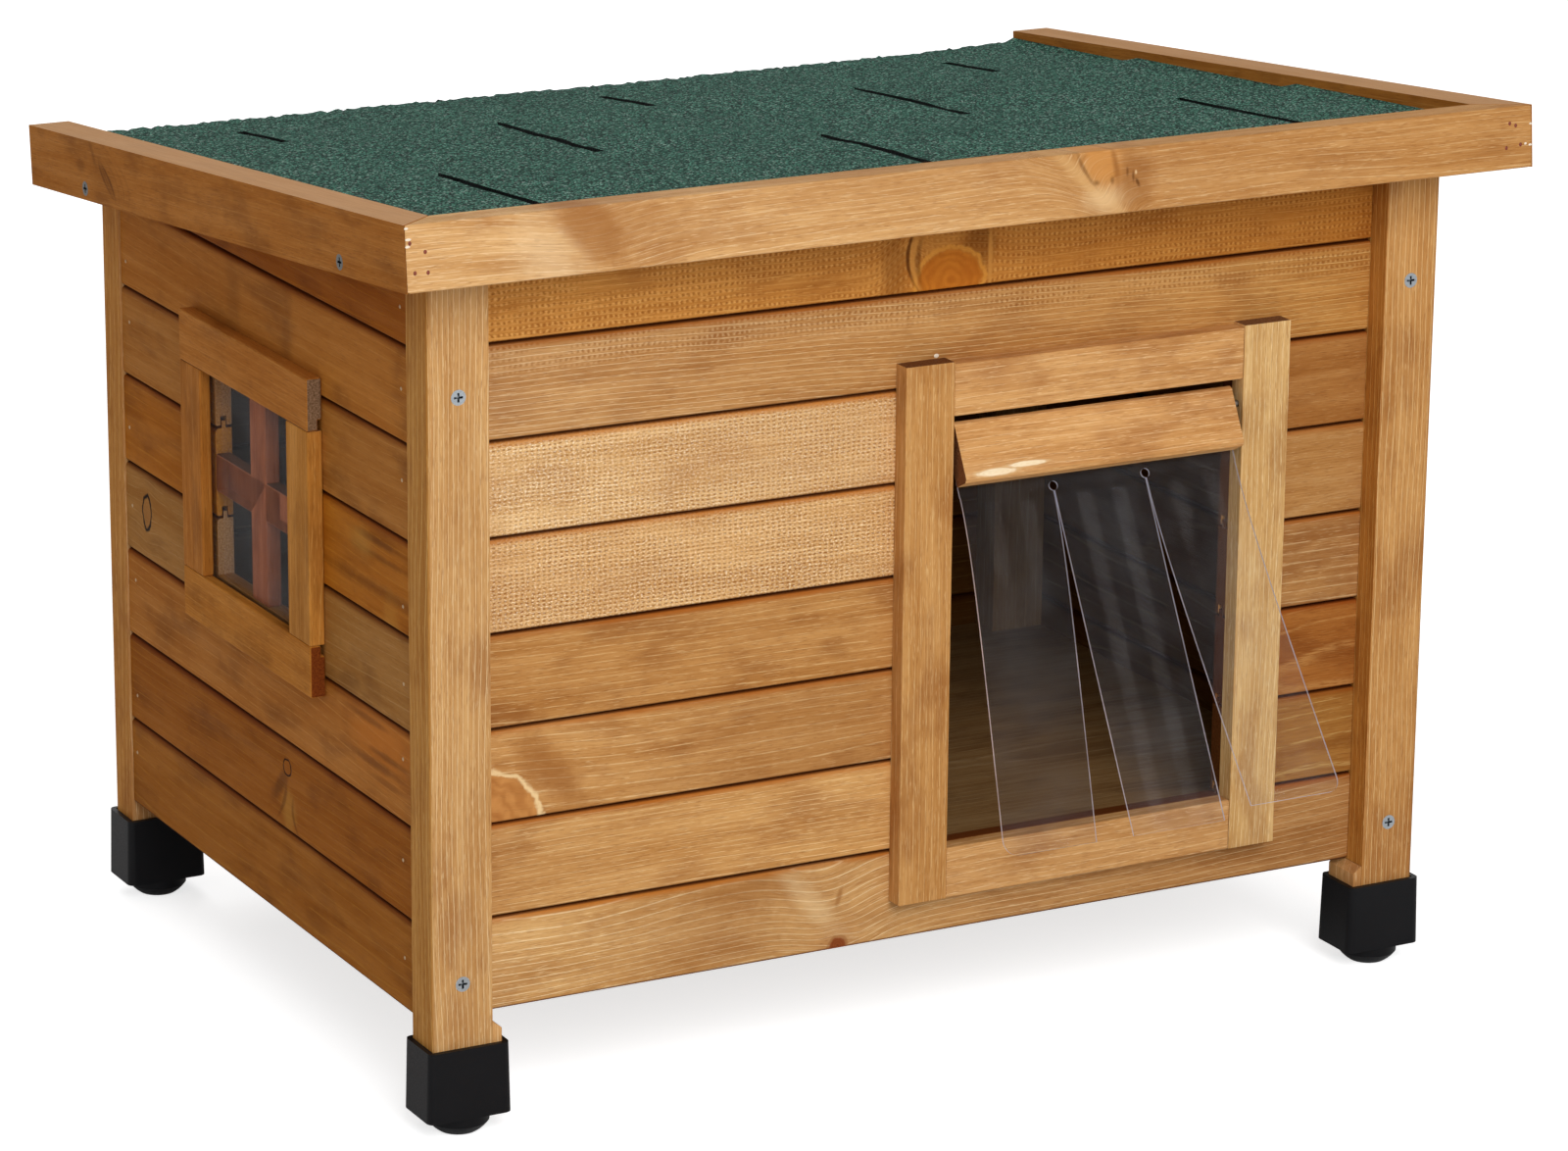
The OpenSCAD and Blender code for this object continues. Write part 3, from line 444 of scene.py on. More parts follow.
def wood(name, grain, across, depth, seed, stain=HONEY, gap=4.0, lines=1.0, clouds=1.0, weave=0.0,
         chatter=0.0, fine=1.0, knots=(), folds=(), clouded=(), strokes=(), centre=None, half=0.0,
         rows=0.0, turn=None, side=0.0, top=0.0, tone=1.0, fade=None, beyond=None, lean=None,
         marked=-99.0, whole=0.0, ends=(srgb(132, 84, 52), srgb(84, 48, 26)), inside=0):
    """Stained spruce with its grain, saw marks, knots and end grain.

    Lengths are in millimetres. gap is that of the growth lines, lean their slant, and whole
    joins their dashes. clouded and strokes are marks under and over the knots. half is half a
    board's height, and rows the pitch of boards that are one piece. side paints shade on
    faces across X, darker and more orange, and top paints light on the faces that look up.
    The tone goes over to a second tone along a front board, a painted change of light and
    sheen from its left to its right, and beyond is the tone of the offcut right of the
    doorway, its own tone with painted shade. ends are the two colours of the end grain. The
    faces that look into the house, to the side that inside gives, get painted shade, darker
    and duller.
    """
    g = Wood(name, (grain, across, depth), seed, stain, centre, turn)
    g.tone(tone, fade)
    if beyond:
        g.offcut(beyond)
    if rows:
        g.repeat(rows, seed)
    g.bend(folds, knots)
    g.grow(gap, lean)
    g.paint(lines, whole, clouds, fine)
    if weave or chatter:
        g.saw(weave, chatter, marked)
    g.smudge(clouded)
    if half:
        g.pool(half)
    g.draw_knots()
    g.smudge(strokes)
    facing = g.split(g.normal)
    g.cut_ends(facing[grain], ends)
    if side:
        # Painted shade on the faces that look along X, darker and more orange.
        g.over(g.span(g.size(facing[X]), 0.5, 0.9) * side, g.times((0.86, 0.70, 0.40, 1.0)))
    # Painted light on the faces that look up: a pale tan that follows the fibres.
    if top:
        painted_top_light = g.mix(g.fibre, srgb(210, 166, 120), srgb(178, 130, 84))
        g.over(g.span(facing[Z], 0.5, 0.9) * top, painted_top_light)
    # Painted shade on the faces that look into the house, darker and duller.
    if inside:
        painted_inside_shade = g.span(facing[depth] * float(inside), 0.5, 0.9)
        g.over(painted_inside_shade, g.times((0.34, 0.36, 0.42, 1.0)))
    g.bump(g.height, 0.5, 0.0003)
    return g.shade(Base_Color=g.times(g.tint), Roughness=g.span(g.streak, 0.3, 0.7, 0.56, 0.72),
                   Specular_IOR_Level=0.06)


def granules():
    """Roofing felt: dark green mineral granules with pale ones between them."""
    g = Graph("granules")
    place = g.turned(g.at, (0, ROOF_FRONT * MM, ROOF_TOP * MM), SLOPE)
    stir = g.noise(place, 0.5, 2.0) * 2.0
    moved = g.of(g.new("VectorMath", operation="ADD"), place, g.vec(stir, stir, stir))
    cells = g.new("TexVoronoi")
    g.put(cells, Vector=moved, Scale=0.85)
    grain = g.out(cells, "Distance")
    pick = g.split(g.out(cells, "Color"))[0]
    clump = g.noise(place, 0.42, 2.0, 0.6)
    patch = g.noise(place, 0.014, 3.0, 0.6)
    colour = g.mix(g.span(pick, 0.1, 0.75), srgb(30, 96, 78), srgb(112, 184, 158))
    colour = g.mix(g.span(pick, 0.80, 0.9), colour, srgb(172, 214, 196))
    colour = g.mix(g.span(pick, 0.965, 0.975), colour, srgb(190, 206, 198))
    # Painted shade in the crevices between the granules.
    colour = g.mix(g.span(grain, 0.36, 0.66) * 0.95, colour, srgb(6, 18, 16))
    colour = g.mix(g.span(clump, 0.50, 0.62) * 0.75, colour, srgb(12, 34, 30))
    colour = g.mix(g.span(patch, 0.42, 0.7) * 0.25, colour, srgb(30, 66, 56))
    level = g.size(g.split(g.turned(g.normal, (0, 0, 0), SLOPE))[Z])
    g.bump(grain * -1.0 + clump * -1.2, 1.0, 0.0016)
    return g.shade(Base_Color=g.mix(g.span(level, 0.75, 0.4), colour, srgb(16, 18, 18)), Roughness=0.85,
                   Specular_IOR_Level=0.15)


def black_plastic():
    g = Graph("black_plastic")
    fine = g.noise(g.at, 1.4, 3.0, 0.6)
    cloud = g.noise(g.at, 0.05, 2.0)
    g.bump(fine, 0.25, 0.0002)
    return g.shade(Base_Color=g.mix(cloud, srgb(4, 4, 7), srgb(12, 12, 15)),
                   Roughness=g.span(fine, 0.3, 0.7, 0.36, 0.5), Specular_IOR_Level=0.2)


def zinc(name, low, high):
    """Zinc from one level of grey to another, with painted shade in recesses."""
    g = Graph(name)
    fine = g.noise(g.at, 2.2, 3.0, 0.6)
    shut_in = g.new("AmbientOcclusion")
    g.put(shut_in, Distance=0.002)
    open_side = g.span(g.out(shut_in, "AO"), 0.35, 0.85)
    g.bump(fine, 0.2, 0.0001)
    return g.shade(Base_Color=g.mix(open_side, srgb(28, 36, 44), g.mix(fine, low, high)),
                   Roughness=g.span(fine, 0.3, 0.7, 0.24, 0.42), Metallic=1.0)


def clear(name, tint, alpha, low, high, shine=1.0):
    """Clear plastic, which is mostly see-through and keeps a soft gloss from low to high."""
    g = Graph(name)
    smear = g.noise(g.at, 0.03, 3.0, 0.6)
    return g.shade(Base_Color=g.mix(smear * 0.4, tint, (0.8, 0.8, 0.82, 1.0)),
                   Roughness=g.span(smear, 0.3, 0.75, low, high),
                   Alpha=g.span(smear, 0.35, 0.75, alpha * 0.75, alpha * 1.3), Specular_IOR_Level=shine)


def mottled(name, a, b):
    """Two colours in small patches, for nail heads and chipped wood."""
    g = Graph(name)
    return g.shade(Base_Color=g.mix(g.noise(g.at, 1.5, 2.0), a, b), Roughness=0.5)


def add_object(name, data):
    thing = bpy.data.objects.new(name, data)
    bpy.context.scene.collection.objects.link(thing)
    return thing


def mesh_from(bm, name, *materials):
    """A mesh with these materials, made from a bmesh that isn't needed any more."""
    mesh = bpy.data.meshes.new(name)
    bm.to_mesh(mesh)
    bm.free()
    for material in materials:
        mesh.materials.append(material)
    return mesh


def dress(thing, material):
    thing.data.materials.clear()
    thing.data.materials.append(material)


def centre_of(node):
    low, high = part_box(node)
    return [(a + b) / 2 for a, b in zip(low, high)]


def clean_copy(node, name):
    """A copy of a CAD node with its triangles joined back into flat faces."""
    mesh = frame["nodes"][node].data.copy()
    mesh.name = name
    piece = add_object(name, mesh)
    mesh.materials.clear()
    bm = bmesh.new()
    bm.from_mesh(mesh)
    bmesh.ops.remove_doubles(bm, verts=bm.verts, dist=0.00001)
    bmesh.ops.dissolve_limit(bm, angle_limit=math.radians(0.6), verts=bm.verts, edges=bm.edges)
    bm.normal_update()
    bm.to_mesh(mesh)
    bm.free()
    return piece


def apply_modifiers(piece):
    depsgraph = bpy.context.evaluated_depsgraph_get()
    result = bpy.data.meshes.new_from_object(piece.evaluated_get(depsgraph), depsgraph=depsgraph)
    old = piece.data
    piece.modifiers.clear()
    piece.data = result
    result.name = piece.name
    bpy.data.meshes.remove(old)


def eased(node, width):
    """A wooden piece with its sharp edges eased, standing for its CAD node."""
    piece = clean_copy(node, "w_" + node)
    bevel = piece.modifiers.new("ease", "BEVEL")
    bevel.width = width
    bevel.segments = 2
    bevel.limit_method = "ANGLE"
    bevel.angle_limit = math.radians(28)
    bevel.harden_normals = True
    bevel.use_clamp_overlap = True
    apply_modifiers(piece)
    return piece


def body_of(node):
    for body, nodes in frame["record"]["behaviour"]["bodies"].items():
        if node in nodes:
            return body
    raise KeyError(node)


def adopt(piece, node, material):
    """Let a piece stand for a CAD node."""
    dress(piece, material)
    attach(piece, body_of(node))
    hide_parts(node)


def wooden(node, grain, across, depth, seed, ease=0.0009, reshape=None, **looks):
    """A wooden piece whose grain runs along one axis, and whose face lies across the last."""
    piece = eased(node, ease)
    if reshape:
        reshape(piece)
    looks.setdefault("centre", centre_of(node))
    adopt(piece, node, wood("wood_" + node, grain, across, depth, seed, **looks))


on_roof = ((0, ROOF_FRONT * MM, ROOF_TOP * MM), SLOPE)
on_flap = (tuple(PIVOT * MM), TILT)

# The walls' boards, from the bottom row up
# The tones of the front boards hold painted light and sheen that change along each board, and painted shade
# on the offcuts right of the doorway, besides each board's own tone.
front_looks = [
    dict(
        lines=0.85, gap=2.6, clouds=0.8, tone=(1.16, 1.29, 1.38), fade=(0.68, 0.6, 0.52),
        lean=0.045, whole=0.1,
        knots=[Knot(-49.4, 53.5, 5, 4.5, STUB)],
        folds=[Fold(-52, 70, reach=24, dip=8, slant=-0.4)],
        clouded=[
            Mark(-120, 74, 45, 30, BROWNED, 0.42, soft=0.9),
            Mark(-95, 87, 24, 9, BROWNED, 0.45),
            Mark(-64, 77, 6, 17, CREAM, 0.32, slant=-0.76),
        ],
        strokes=[Mark(-48.9, 77.3, 1.4, 4, BROWNED, 0.6, soft=0.6, slant=0.3)],
    ),
    dict(lines=0.85, gap=2.3, tone=(0.92, 0.9, 0.84), fade=(1.22, 1.27, 1.18),
         beyond=(0.6, 0.5, 0.3)),
    dict(
        lines=0.75, gap=3.0, tone=(1.0, 1.0, 0.94), fade=(0.68, 0.58, 0.44),
        beyond=(0.58, 0.39, 0.21),
        knots=[Knot(-229, 138, 29, 26, SWIRL)],
        clouded=[
            Mark(-75, 161, 60, 40, BROWNED, 0.28, soft=0.9),
            Mark(-196, 161, 9, 20, BROWNED, 0.6, soft=0.7, slant=-0.7),
        ],
    ),
    dict(lines=0.7, gap=3.2, clouds=1.1, tone=(0.84, 0.77, 0.64), beyond=(0.78, 0.74, 0.68)),
    dict(lines=0.15, clouds=0.5, weave=1.0, tone=(1.16, 1.27, 1.4), fade=(1.12, 1.2, 1.2),
         beyond=(0.79, 0.75, 0.66)),
    dict(
        lines=0.15, clouds=0.6, weave=0.9, tone=(1.3, 1.55, 1.86), fade=(1.02, 1.02, 1.0),
        beyond=(0.63, 0.5, 0.35),
        clouded=[Mark(-85, 292, 80, 40, BROWNED, 0.2, soft=0.9)],
    ),
    dict(gap=2.5, clouds=0.9, chatter=0.9, marked=9, whole=0.12, tone=(0.9, 0.92, 0.98),
         fade=(0.78, 0.66, 0.42)),
    dict(
        lines=0.4, gap=3.0, clouds=0.8, chatter=1.0, tone=(1.05, 0.88, 0.52), fade=(0.73, 0.5, 0.2),
        knots=[Knot(3.9, 361.5, 18, 15.5, EYE)],
        folds=[Fold(-18, 372, reach=10, dip=-7)],
        clouded=[
            Mark(18, 376, 8.5, 12, DARK, 0.6, soft=0.5),
            Mark(-25, 366, 6, 18, DARK, 0.4, soft=0.7),
            Mark(-3, 382, 12, 5, TAN, 0.5, soft=0.7),
        ],
        strokes=[
            Mark(-18, 374, 0.9, 13.5, DARK, 0.85, soft=0.6, bend=4.3),
            Mark(-15.4, 373, 1.3, 13.5, TAN, 0.8, soft=0.6, bend=3.6),
            Mark(-12.8, 371, 1.3, 10, DARK, 0.55, soft=0.7, bend=1.6),
            Mark(24.7, 371, 1.1, 13, TAN, 0.85, soft=0.7),
        ],
    ),
]
left_looks = [
    dict(lines=0.6, tone=(0.82, 0.76, 0.42)),
    dict(
        lines=0.8, gap=3.8, tone=(0.76, 0.64, 0.26),
        knots=[Knot(8.4, 126.6, 4.5, 4, RING)],
        clouded=[
            Mark(16, 117, 5, 9, DARK, 0.6, soft=0.6, slant=-0.9),
            Mark(7, 106, 7, 9, TAN, 0.45, soft=0.6),
            Mark(12, 110, 1.6, 9, DARK, 0.5, soft=0.6, slant=-0.5, bend=2),
            Mark(2, 104, 1.4, 8, DARK, 0.45, soft=0.6, slant=0.4, bend=-3),
        ],
    ),
    dict(
        lines=0.7, gap=3.8, tone=1.02,
        clouded=[
            Mark(-100, 170, 32, 14, srgb(196, 112, 34), 0.6, soft=0.9),
            Mark(-92, 158, 26, 2, DARK, 0.55, soft=0.6),
            Mark(-106, 164, 20, 1.5, DARK, 0.55, soft=0.6),
            Mark(-84, 177, 18, 1.6, DARK, 0.5, soft=0.6),
            Mark(-104, 152, 16, 1.5, DARK, 0.4, soft=0.6),
        ],
    ),
    dict(
        lines=0.6, gap=4.2, tone=(0.88, 1.06, 1.45),
        knots=[Knot(174.7, 206.4, 5.5, 9, RING)],
        clouded=[Mark(-20, 180, 40, 10, srgb(120, 74, 30), 0.4, soft=0.9)],
    ),
    dict(
        lines=0.5, tone=(0.98, 0.87, 0.4),
        clouded=[
            Mark(-100, 240, 60, 2.5, DARK, 0.5, soft=0.9, slant=0.6),
            Mark(-110, 225, 8, 12, TAN, 0.25),
            Mark(-96, 262, 22, 1.6, DARK, 0.6, bend=4),
            Mark(-104, 255, 26, 1.4, DARK, 0.5, bend=5),
            Mark(-78, 258, 10, 5, TAN, 0.3, soft=0.9),
        ],
    ),
    dict(lines=0.5, tone=(0.96, 1.0, 1.05)),
    dict(
        lines=0.5, gap=4.2, tone=(1.06, 1.04, 0.9),
        clouded=[
            Mark(0, 338, 5, 20, DARK, 0.3),
            Mark(62, 340, 7, 20, DARK, 0.3, soft=0.9),
        ],
    ),
    # The top left board's tone holds painted shade from the roof's trim above it.
    dict(lines=0.6, tone=(0.76, 0.57, 0.08)),
]
HALF_BOARD = PITCH / 2 * MM
for row in range(ROWS):
    mid = WALL_LOW + PITCH * (row + 0.5)
    wooden("front_board_%d" % (row + 1), X, Z, Y, 11 + row, half=HALF_BOARD, inside=1,
           centre=(0, FRONT, mid), **front_looks[row])
    wooden("left_board_%d" % (row + 1), Y, Z, X, 31 + row, half=HALF_BOARD, inside=1,
           centre=(LEFT_MIDDLE, 0, mid), stain=SHADED_STAIN, fine=0.6,
           ends=(srgb(220, 158, 96), srgb(176, 116, 62)), **left_looks[row])
for seed, (node, grain, depth) in enumerate((("right_boards", Y, X), ("back_boards", X, Y)), 51):
    wooden(node, grain, Z, depth, seed, half=HALF_BOARD, rows=PITCH * MM, stain=SHADED_STAIN, inside=-1)

# Posts, door frame and window frame
# side=1.0 gives the posts painted shade on their faces that look along X.
post = dict(side=1.0, gap=2.4, lines=0.8)
post_front = dict(post, whole=0.1)
for seed, (node, looks) in enumerate((
        # The front posts' tones hold painted light: the right one darker and yellower than the left.
        ("post_front_left", dict(post_front, gap=2.2, tone=(0.97, 1.02, 1.06))),
        ("post_front_right", dict(post_front, tone=(0.92, 0.88, 0.78))),
        ("post_back_left", post),
        ("post_back_right", post),
        ("door_stile_left", dict(lines=0.6, gap=2.2, tone=(0.91, 0.87, 0.76))),
        ("door_stile_right", dict(lines=0.6, gap=2.2, tone=(1.1, 1.28, 1.4))),
        ("cap_packers", dict(lines=0.5, ease=0.0004))), 61):
    wooden(node, Z, X, Y, seed, **looks)
wooden("door_rail_top", X, Z, Y, 73, lines=0.5, gap=3.4, tone=1.05)
wooden("door_rail_bottom", X, Z, Y, 74, lines=0.6, gap=3.4)
wooden("window_rail_top", Y, Z, X, 81, lines=0.4, stain=SHADED_STAIN, tone=1.1,
       ends=(srgb(150, 118, 90), srgb(92, 66, 42)))
wooden("window_rail_bottom", Y, Z, X, 82, lines=0.5, stain=SHADED_STAIN, tone=(1.16, 1.2, 1.05),
       ends=(srgb(126, 60, 20), srgb(90, 38, 12)))
wooden("window_stile_front", Z, Y, X, 83, lines=0.4, stain=SHADED_STAIN, tone=(1.26, 1.44, 1.6))
wooden("window_stile_back", Z, Y, X, 84, lines=0.4, stain=SHADED_STAIN, tone=1.1)
wooden("window_bars", Z, Y, X, 85, lines=0.4, stain=RUSSET, ease=0.0005)

# Trim of the roof
# The fascia's tone goes from a pale, bluish painted sheen at its left to a darker tone at its right.
wooden(
    "roof_fascia", X, Z, Y, 91, lines=0.55, gap=2.0, clouds=0.6, turn=on_roof,
    tone=(1.10, 1.2, 1.36), fade=(0.88, 0.83, 0.74),
    folds=[
        Fold(44, 410, reach=13, dip=9, slant=-1.09),
        Fold(-200, 412, reach=30, dip=5, slant=-0.8),
    ],
    clouded=[
        Mark(-198, 415, 13, 15, BROWNED, 0.6, soft=0.3, slant=-0.6),
        Mark(-182, 418, 26, 17, BROWNED, 0.5, soft=0.95, slant=-0.5),
        Mark(-60, 424, 60, 10, BROWNED, 0.2, soft=0.9),
        Mark(104, 414, 40, 15, BROWNED, 0.16, soft=0.95),
        Mark(-219, 404, 13, 15, CREAM, 0.3, soft=0.9, slant=-0.5),
        Mark(70, 411, 10, 14, BROWNED, 0.6, soft=0.6),
        Mark(46, 411, 4.5, 18, TAN, 0.7, soft=0.7, slant=-1.09),
        Mark(53.5, 421, 9, 12, srgb(206, 140, 72), 0.75, soft=0.5, slant=-0.2),
        Mark(54.5, 403.5, 10, 5.5, CREAM, 0.4),
    ],
    strokes=[
        Mark(44.4, 417.0, 0.9, 7, DARK, 0.55, soft=0.95, slant=-0.57, bend=0.8),
        Mark(60.8, 417.5, 1.4, 8, BROWNED, 0.75, soft=0.95, slant=-0.14, bend=-0.5),
        Mark(66.5, 414.5, 0.6, 1.8, DARK, 0.6),
        Mark(69.5, 412.2, 0.6, 2.2, DARK, 0.7),
        Mark(71.6, 409.4, 0.8, 1.8, DARK, 0.8, slant=-0.4),
        Mark(50.4, 410.8, 1.6, 1.1, DARK, 0.6),
        Mark(58.6, 411.2, 1.0, 1.6, DARK, 0.6),
        # A painted highlight beside the dark specks.
        Mark(70.9, 413.8, 0.5, 0.9, CREAM, 0.8),
    ],
)
wooden(
    "roof_trim_left", Y, Z, X, 92, lines=0.4, stain=SHADED_STAIN, top=0.8, turn=on_roof, tone=1.04,
    clouded=[
        Mark(152, 408.5, 5, 7, DARK, 0.3, soft=0.3, slant=1.0),
        Mark(158, 411, 14, 12, DARK, 0.2, soft=0.9, slant=0.6),
        Mark(184, 412, 5, 3, DARK, 0.35, soft=0.6),
    ],
    strokes=[
        Mark(147.8, 408.3, 1.3, 7, DARK, 0.6, soft=0.6, slant=1.0, bend=2),
        Mark(156, 408.9, 1.0, 7, DARK, 0.4, soft=0.6, slant=1.0, bend=-2),
        Mark(152, 408.6, 0.8, 5, DARK, 0.25, soft=0.7, slant=1.0),
        Mark(168, 419, 2.2, 5, DARK, 0.4, slant=0.6),
        Mark(140, 409, 0.9, 9, DARK, 0.22, slant=0.8, bend=5),
        Mark(133, 409, 0.9, 10, DARK, 0.2, slant=0.8, bend=7),
        Mark(126, 409, 0.9, 11, DARK, 0.16, slant=0.8, bend=9),
    ],
)
wooden("roof_trim_right", Y, Z, X, 93, lines=0.5, stain=SHADED_STAIN, top=0.8, turn=on_roof)

# The flap's bar: how far its top edge is raised, and from where up
BAR_RISE = 0.004
BAR_TOP = 0.0025


def taller(piece):
    """Raise the top edge of the flap's bar, which the photo shows close under the rail."""
    up = Vector((0, math.sin(TILT), math.cos(TILT)))
    for vert in piece.data.vertices:
        if (vert.co - PIVOT).dot(up) > BAR_TOP:
            vert.co += BAR_RISE * up


wooden(
    "flap_bar", X, Z, Y, 94, lines=0.5, gap=3.4, turn=on_flap, ease=0.0006, tone=1.08,
    reshape=taller,
    knots=[
        Knot(20, 270.3, 12, 1.9, FILLER),
        Knot(37, 272.3, 12, 1.4, FILLER),
    ],
)

# Raw wood that only shows from inside or below
for seed, (node, axes) in enumerate((("corner_cleats", (Z, X, Y)), ("floor_panel", (X, Y, Z)),
                                     ("floor_ledgers", (X, Y, Z)), ("roof_boards", (X, Y, Z)),
                                     ("roof_battens", (X, Y, Z))), 101):
    dress(frame["nodes"][node], wood("wood_" + node, *axes, seed, stain=RAW, centre=centre_of(node),
                                     tone=(0.5, 0.44, 0.36)))

# The felt, in metres
FELT_GRID = 0.006    # spacing of its vertices
FELT_FINE = 0.002    # their spacing along the last course's back edge
FELT_STRIP = 0.0075  # width of the strip along that edge
FELT_SIDE = 0.0005   # within this of a side, a vertex stays where it is
FELT_BACK = 0.003    # within this of the back edge, it belongs to that edge
FELT_LAP = 0.015     # how far a course lies under the next
FELT_THIN = 0.0004   # how thin the last course may get
FELT_SAG = 0.0037    # how far its back edge sags amid its width, and how much less at the sides
LESS_LEFT, LESS_RIGHT = 0.0009, 0.0023

# Without a seed, noise_vector gives other values in each run
noise.seed_set(5)


def cut_grid(bm, low, high):
    """Cut the faces of a course into a grid, so that they can wave."""
    for axis, normal in ((X, (1, 0, 0)), (Y, (0, 1, 0))):
        for k in range(1, int((high[axis] - low[axis]) / FELT_GRID)):
            at = Vector(low)
            at[axis] += k * FELT_GRID
            parts = bm.verts[:] + bm.edges[:] + bm.faces[:]
            bmesh.ops.bisect_plane(bm, geom=parts, plane_co=at, plane_no=normal)


def cut_back_edge(bm, low, high):
    """Finer cuts near the back edge, which shows against the sky."""
    parts = {}
    for face in bm.faces:
        if min(vert.co.y for vert in face.verts) > high[Y] - FELT_STRIP:
            parts.update(dict.fromkeys([face, *face.verts, *face.edges]))
    parts = list(parts)
    for k in range(1, int((high[X] - low[X]) / FELT_FINE)):
        at = Vector((low[X] + k * FELT_FINE, 0, 0))
        parts = bmesh.ops.bisect_plane(bm, geom=parts, plane_co=at, plane_no=(1, 0, 0))["geom"]


def edge_move(p, sides, seed, at_back):
    """How a vertex of a cut edge moves, to make the edge ragged."""
    move = Vector((0, 0, 0))
    shake = noise.noise_vector(p * 260 + Vector((0, 0, seed)))
    slow = noise.noise(p * 45 + Vector((seed, 0, 0)))
    across = any(abs(side.x) > 0.7 for side in sides)
    if across:
        outward = sum(side.x for side in sides)
        move.x = 0.0006 * shake.x + 0.0016 * slow - math.copysign(0.0005, outward)
    if at_back:
        move.y = -0.0030 * abs(shake.y)
    elif not across:
        move.y = 0.0007 * shake.y
    return move


def sagged(p, rise, low, high, at_back):
    """The rise of a vertex of the last course, which sags towards its rough back edge."""
    along = (p.x - low[X]) / (high[X] - low[X])
    back = max(0.0, (p.y - low[Y] - FELT_LAP) / (high[Y] - low[Y] - FELT_LAP))
    sag = FELT_SAG - LESS_LEFT * (1 - along) ** 6 - LESS_RIGHT * along ** 8
    rise = 0.5 * rise - sag * back
    if at_back:
        rise += 0.0012 * noise.noise(p * 330)
    under = low[Z] + (high[Y] - p.y) * math.tan(SLOPE)
    return max(rise, under + FELT_THIN - p.z)


def felt_course(node, seed, last=False):
    """A course of shingles with a gently wavy face and ragged cut edges."""
    piece = clean_copy(node, "felt_" + node[-1])
    bm = bmesh.new()
    bm.from_mesh(piece.data)
    low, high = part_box(node)
    cut_grid(bm, low, high)
    if last:
        cut_back_edge(bm, low, high)
    bm.normal_update()
    moves = []
    for vert in bm.verts:
        p = vert.co
        if min(abs(p.x - low[X]), abs(p.x - high[X])) < FELT_SIDE:
            continue
        at_back = high[Y] - p.y < FELT_BACK
        sides = [face.normal for face in vert.link_faces if abs(face.normal.z) < 0.5]
        move = edge_move(p, sides, seed, at_back) if sides else Vector((0, 0, 0))
        if any(face.normal.z > 0.5 for face in vert.link_faces):
            wave = noise.noise(Vector((p.x * 17, p.y * 13, seed)))
            move.z = min(0.0, 0.0006 * (wave - 0.5))
            if last:
                move.z = sagged(p, move.z, low, high, at_back)
        moves.append((vert, move))
    for vert, move in moves:
        vert.co += move
    bm.to_mesh(piece.data)
    bm.free()
    return piece


COURSES = 3
felt = granules()
for k in range(1, COURSES + 1):
    node = "shingle_course_%d" % k
    adopt(felt_course(node, 3.7 * k, k == COURSES), node, felt)

# Plastic, metal and the pane keep their CAD meshes
for material, nodes in (
        (black_plastic(), ("leg_caps", "leg_pads")),
        (zinc("zinc", srgb(150, 160, 168), srgb(214, 220, 224)),
         ("post_screws", "flap_pins", "hinge_pins", "hinge_wall_leaves", "hinge_roof_leaves",
          "hinge_wall_screws", "hinge_roof_screws")),
        # A darker zinc for the trims' screws: painted shade, as they sit recessed on the shaded side.
        (zinc("shaded_zinc", srgb(84, 82, 78), srgb(150, 150, 146)), ("roof_screws",)),
        (clear("clear_pane", srgb(30, 36, 40), 0.10, 0.03, 0.09, 0.6), ("window_pane",))):
    for node in nodes:
        dress(frame["nodes"][node], material)

# The clear sheet, in metres: a header on the bar and three strips that bend on from it
SHEET_BACK = 0.0055   # from the pivot back to the middle of the sheet
SHEET_LEFT = 0.0045   # x of its left edge
SHEET_ABOVE = 0.024   # from the ends of the slits up to its top
HALF_SHEET = 0.0005   # half its thickness
SLIT_DROP = 0.0256    # from the pivot down to the ends of the slits
SLIT_SIDE = 0.0002    # half the width of a slit
HOLE = 0.0022         # radius of the holes
STRIPS = 3
STRIP = 0.147 / STRIPS
LENGTH = 0.164        # of a strip
LEFT_ROUND = 0.008    # radius of the sheet's lower left corner
RIGHT_ROUND = 0.0062
BLEND_FROM, BLEND_TO = 0.001, 0.016  # two depths below the slits, at which the script works out points that it doesn't use
HOLE_STEPS, LENGTH_STEPS, ROUND_STEPS = 6, 60, 8
# The sheet's cut edges are a pale lilac: a painted highlight for the light they catch.
sheet_mats = (clear("clear_sheet", srgb(60, 62, 66), 0.05, 0.04, 0.12, 0.6),
              clear("clear_edge", srgb(232, 224, 240), 0.8, 0.2, 0.3))


def flap_point(n, u):
    """The y and z of a point of the flap: n behind the pivot and u above it, square to the bar."""
    return Vector((PIVOT.y + n * math.cos(TILT) + u * math.sin(TILT),
                   PIVOT.z - n * math.sin(TILT) + u * math.cos(TILT)))


def leave_circle(radius, off):
    """Half the width of a circle at a distance off its middle."""
    return math.sqrt(max(0.0, radius ** 2 - off ** 2))


def quarter(k, steps):
    return math.pi / 2 * k / steps


def add_sheet(bm, rows, smooth=False, start=False, end=False):
    """A thin sheet from rows of (left, right, front point, back point), closed where asked."""
    rings = []
    for left, right, front, back in rows:
        rings.append([bm.verts.new((left, *front)), bm.verts.new((right, *front)),
                      bm.verts.new((right, *back)), bm.verts.new((left, *back))])
    for a, b in zip(rings, rings[1:]):
        for i in range(4):
            j = (i + 1) % 4
            face = bm.faces.new((a[i], a[j], b[j], b[i]))
            face.material_index = i % 2
            face.smooth = smooth and i % 2 == 0
    if start:
        bm.faces.new(rings[0]).material_index = 1
    if end:
        bm.faces.new(rings[-1][::-1]).material_index = 1


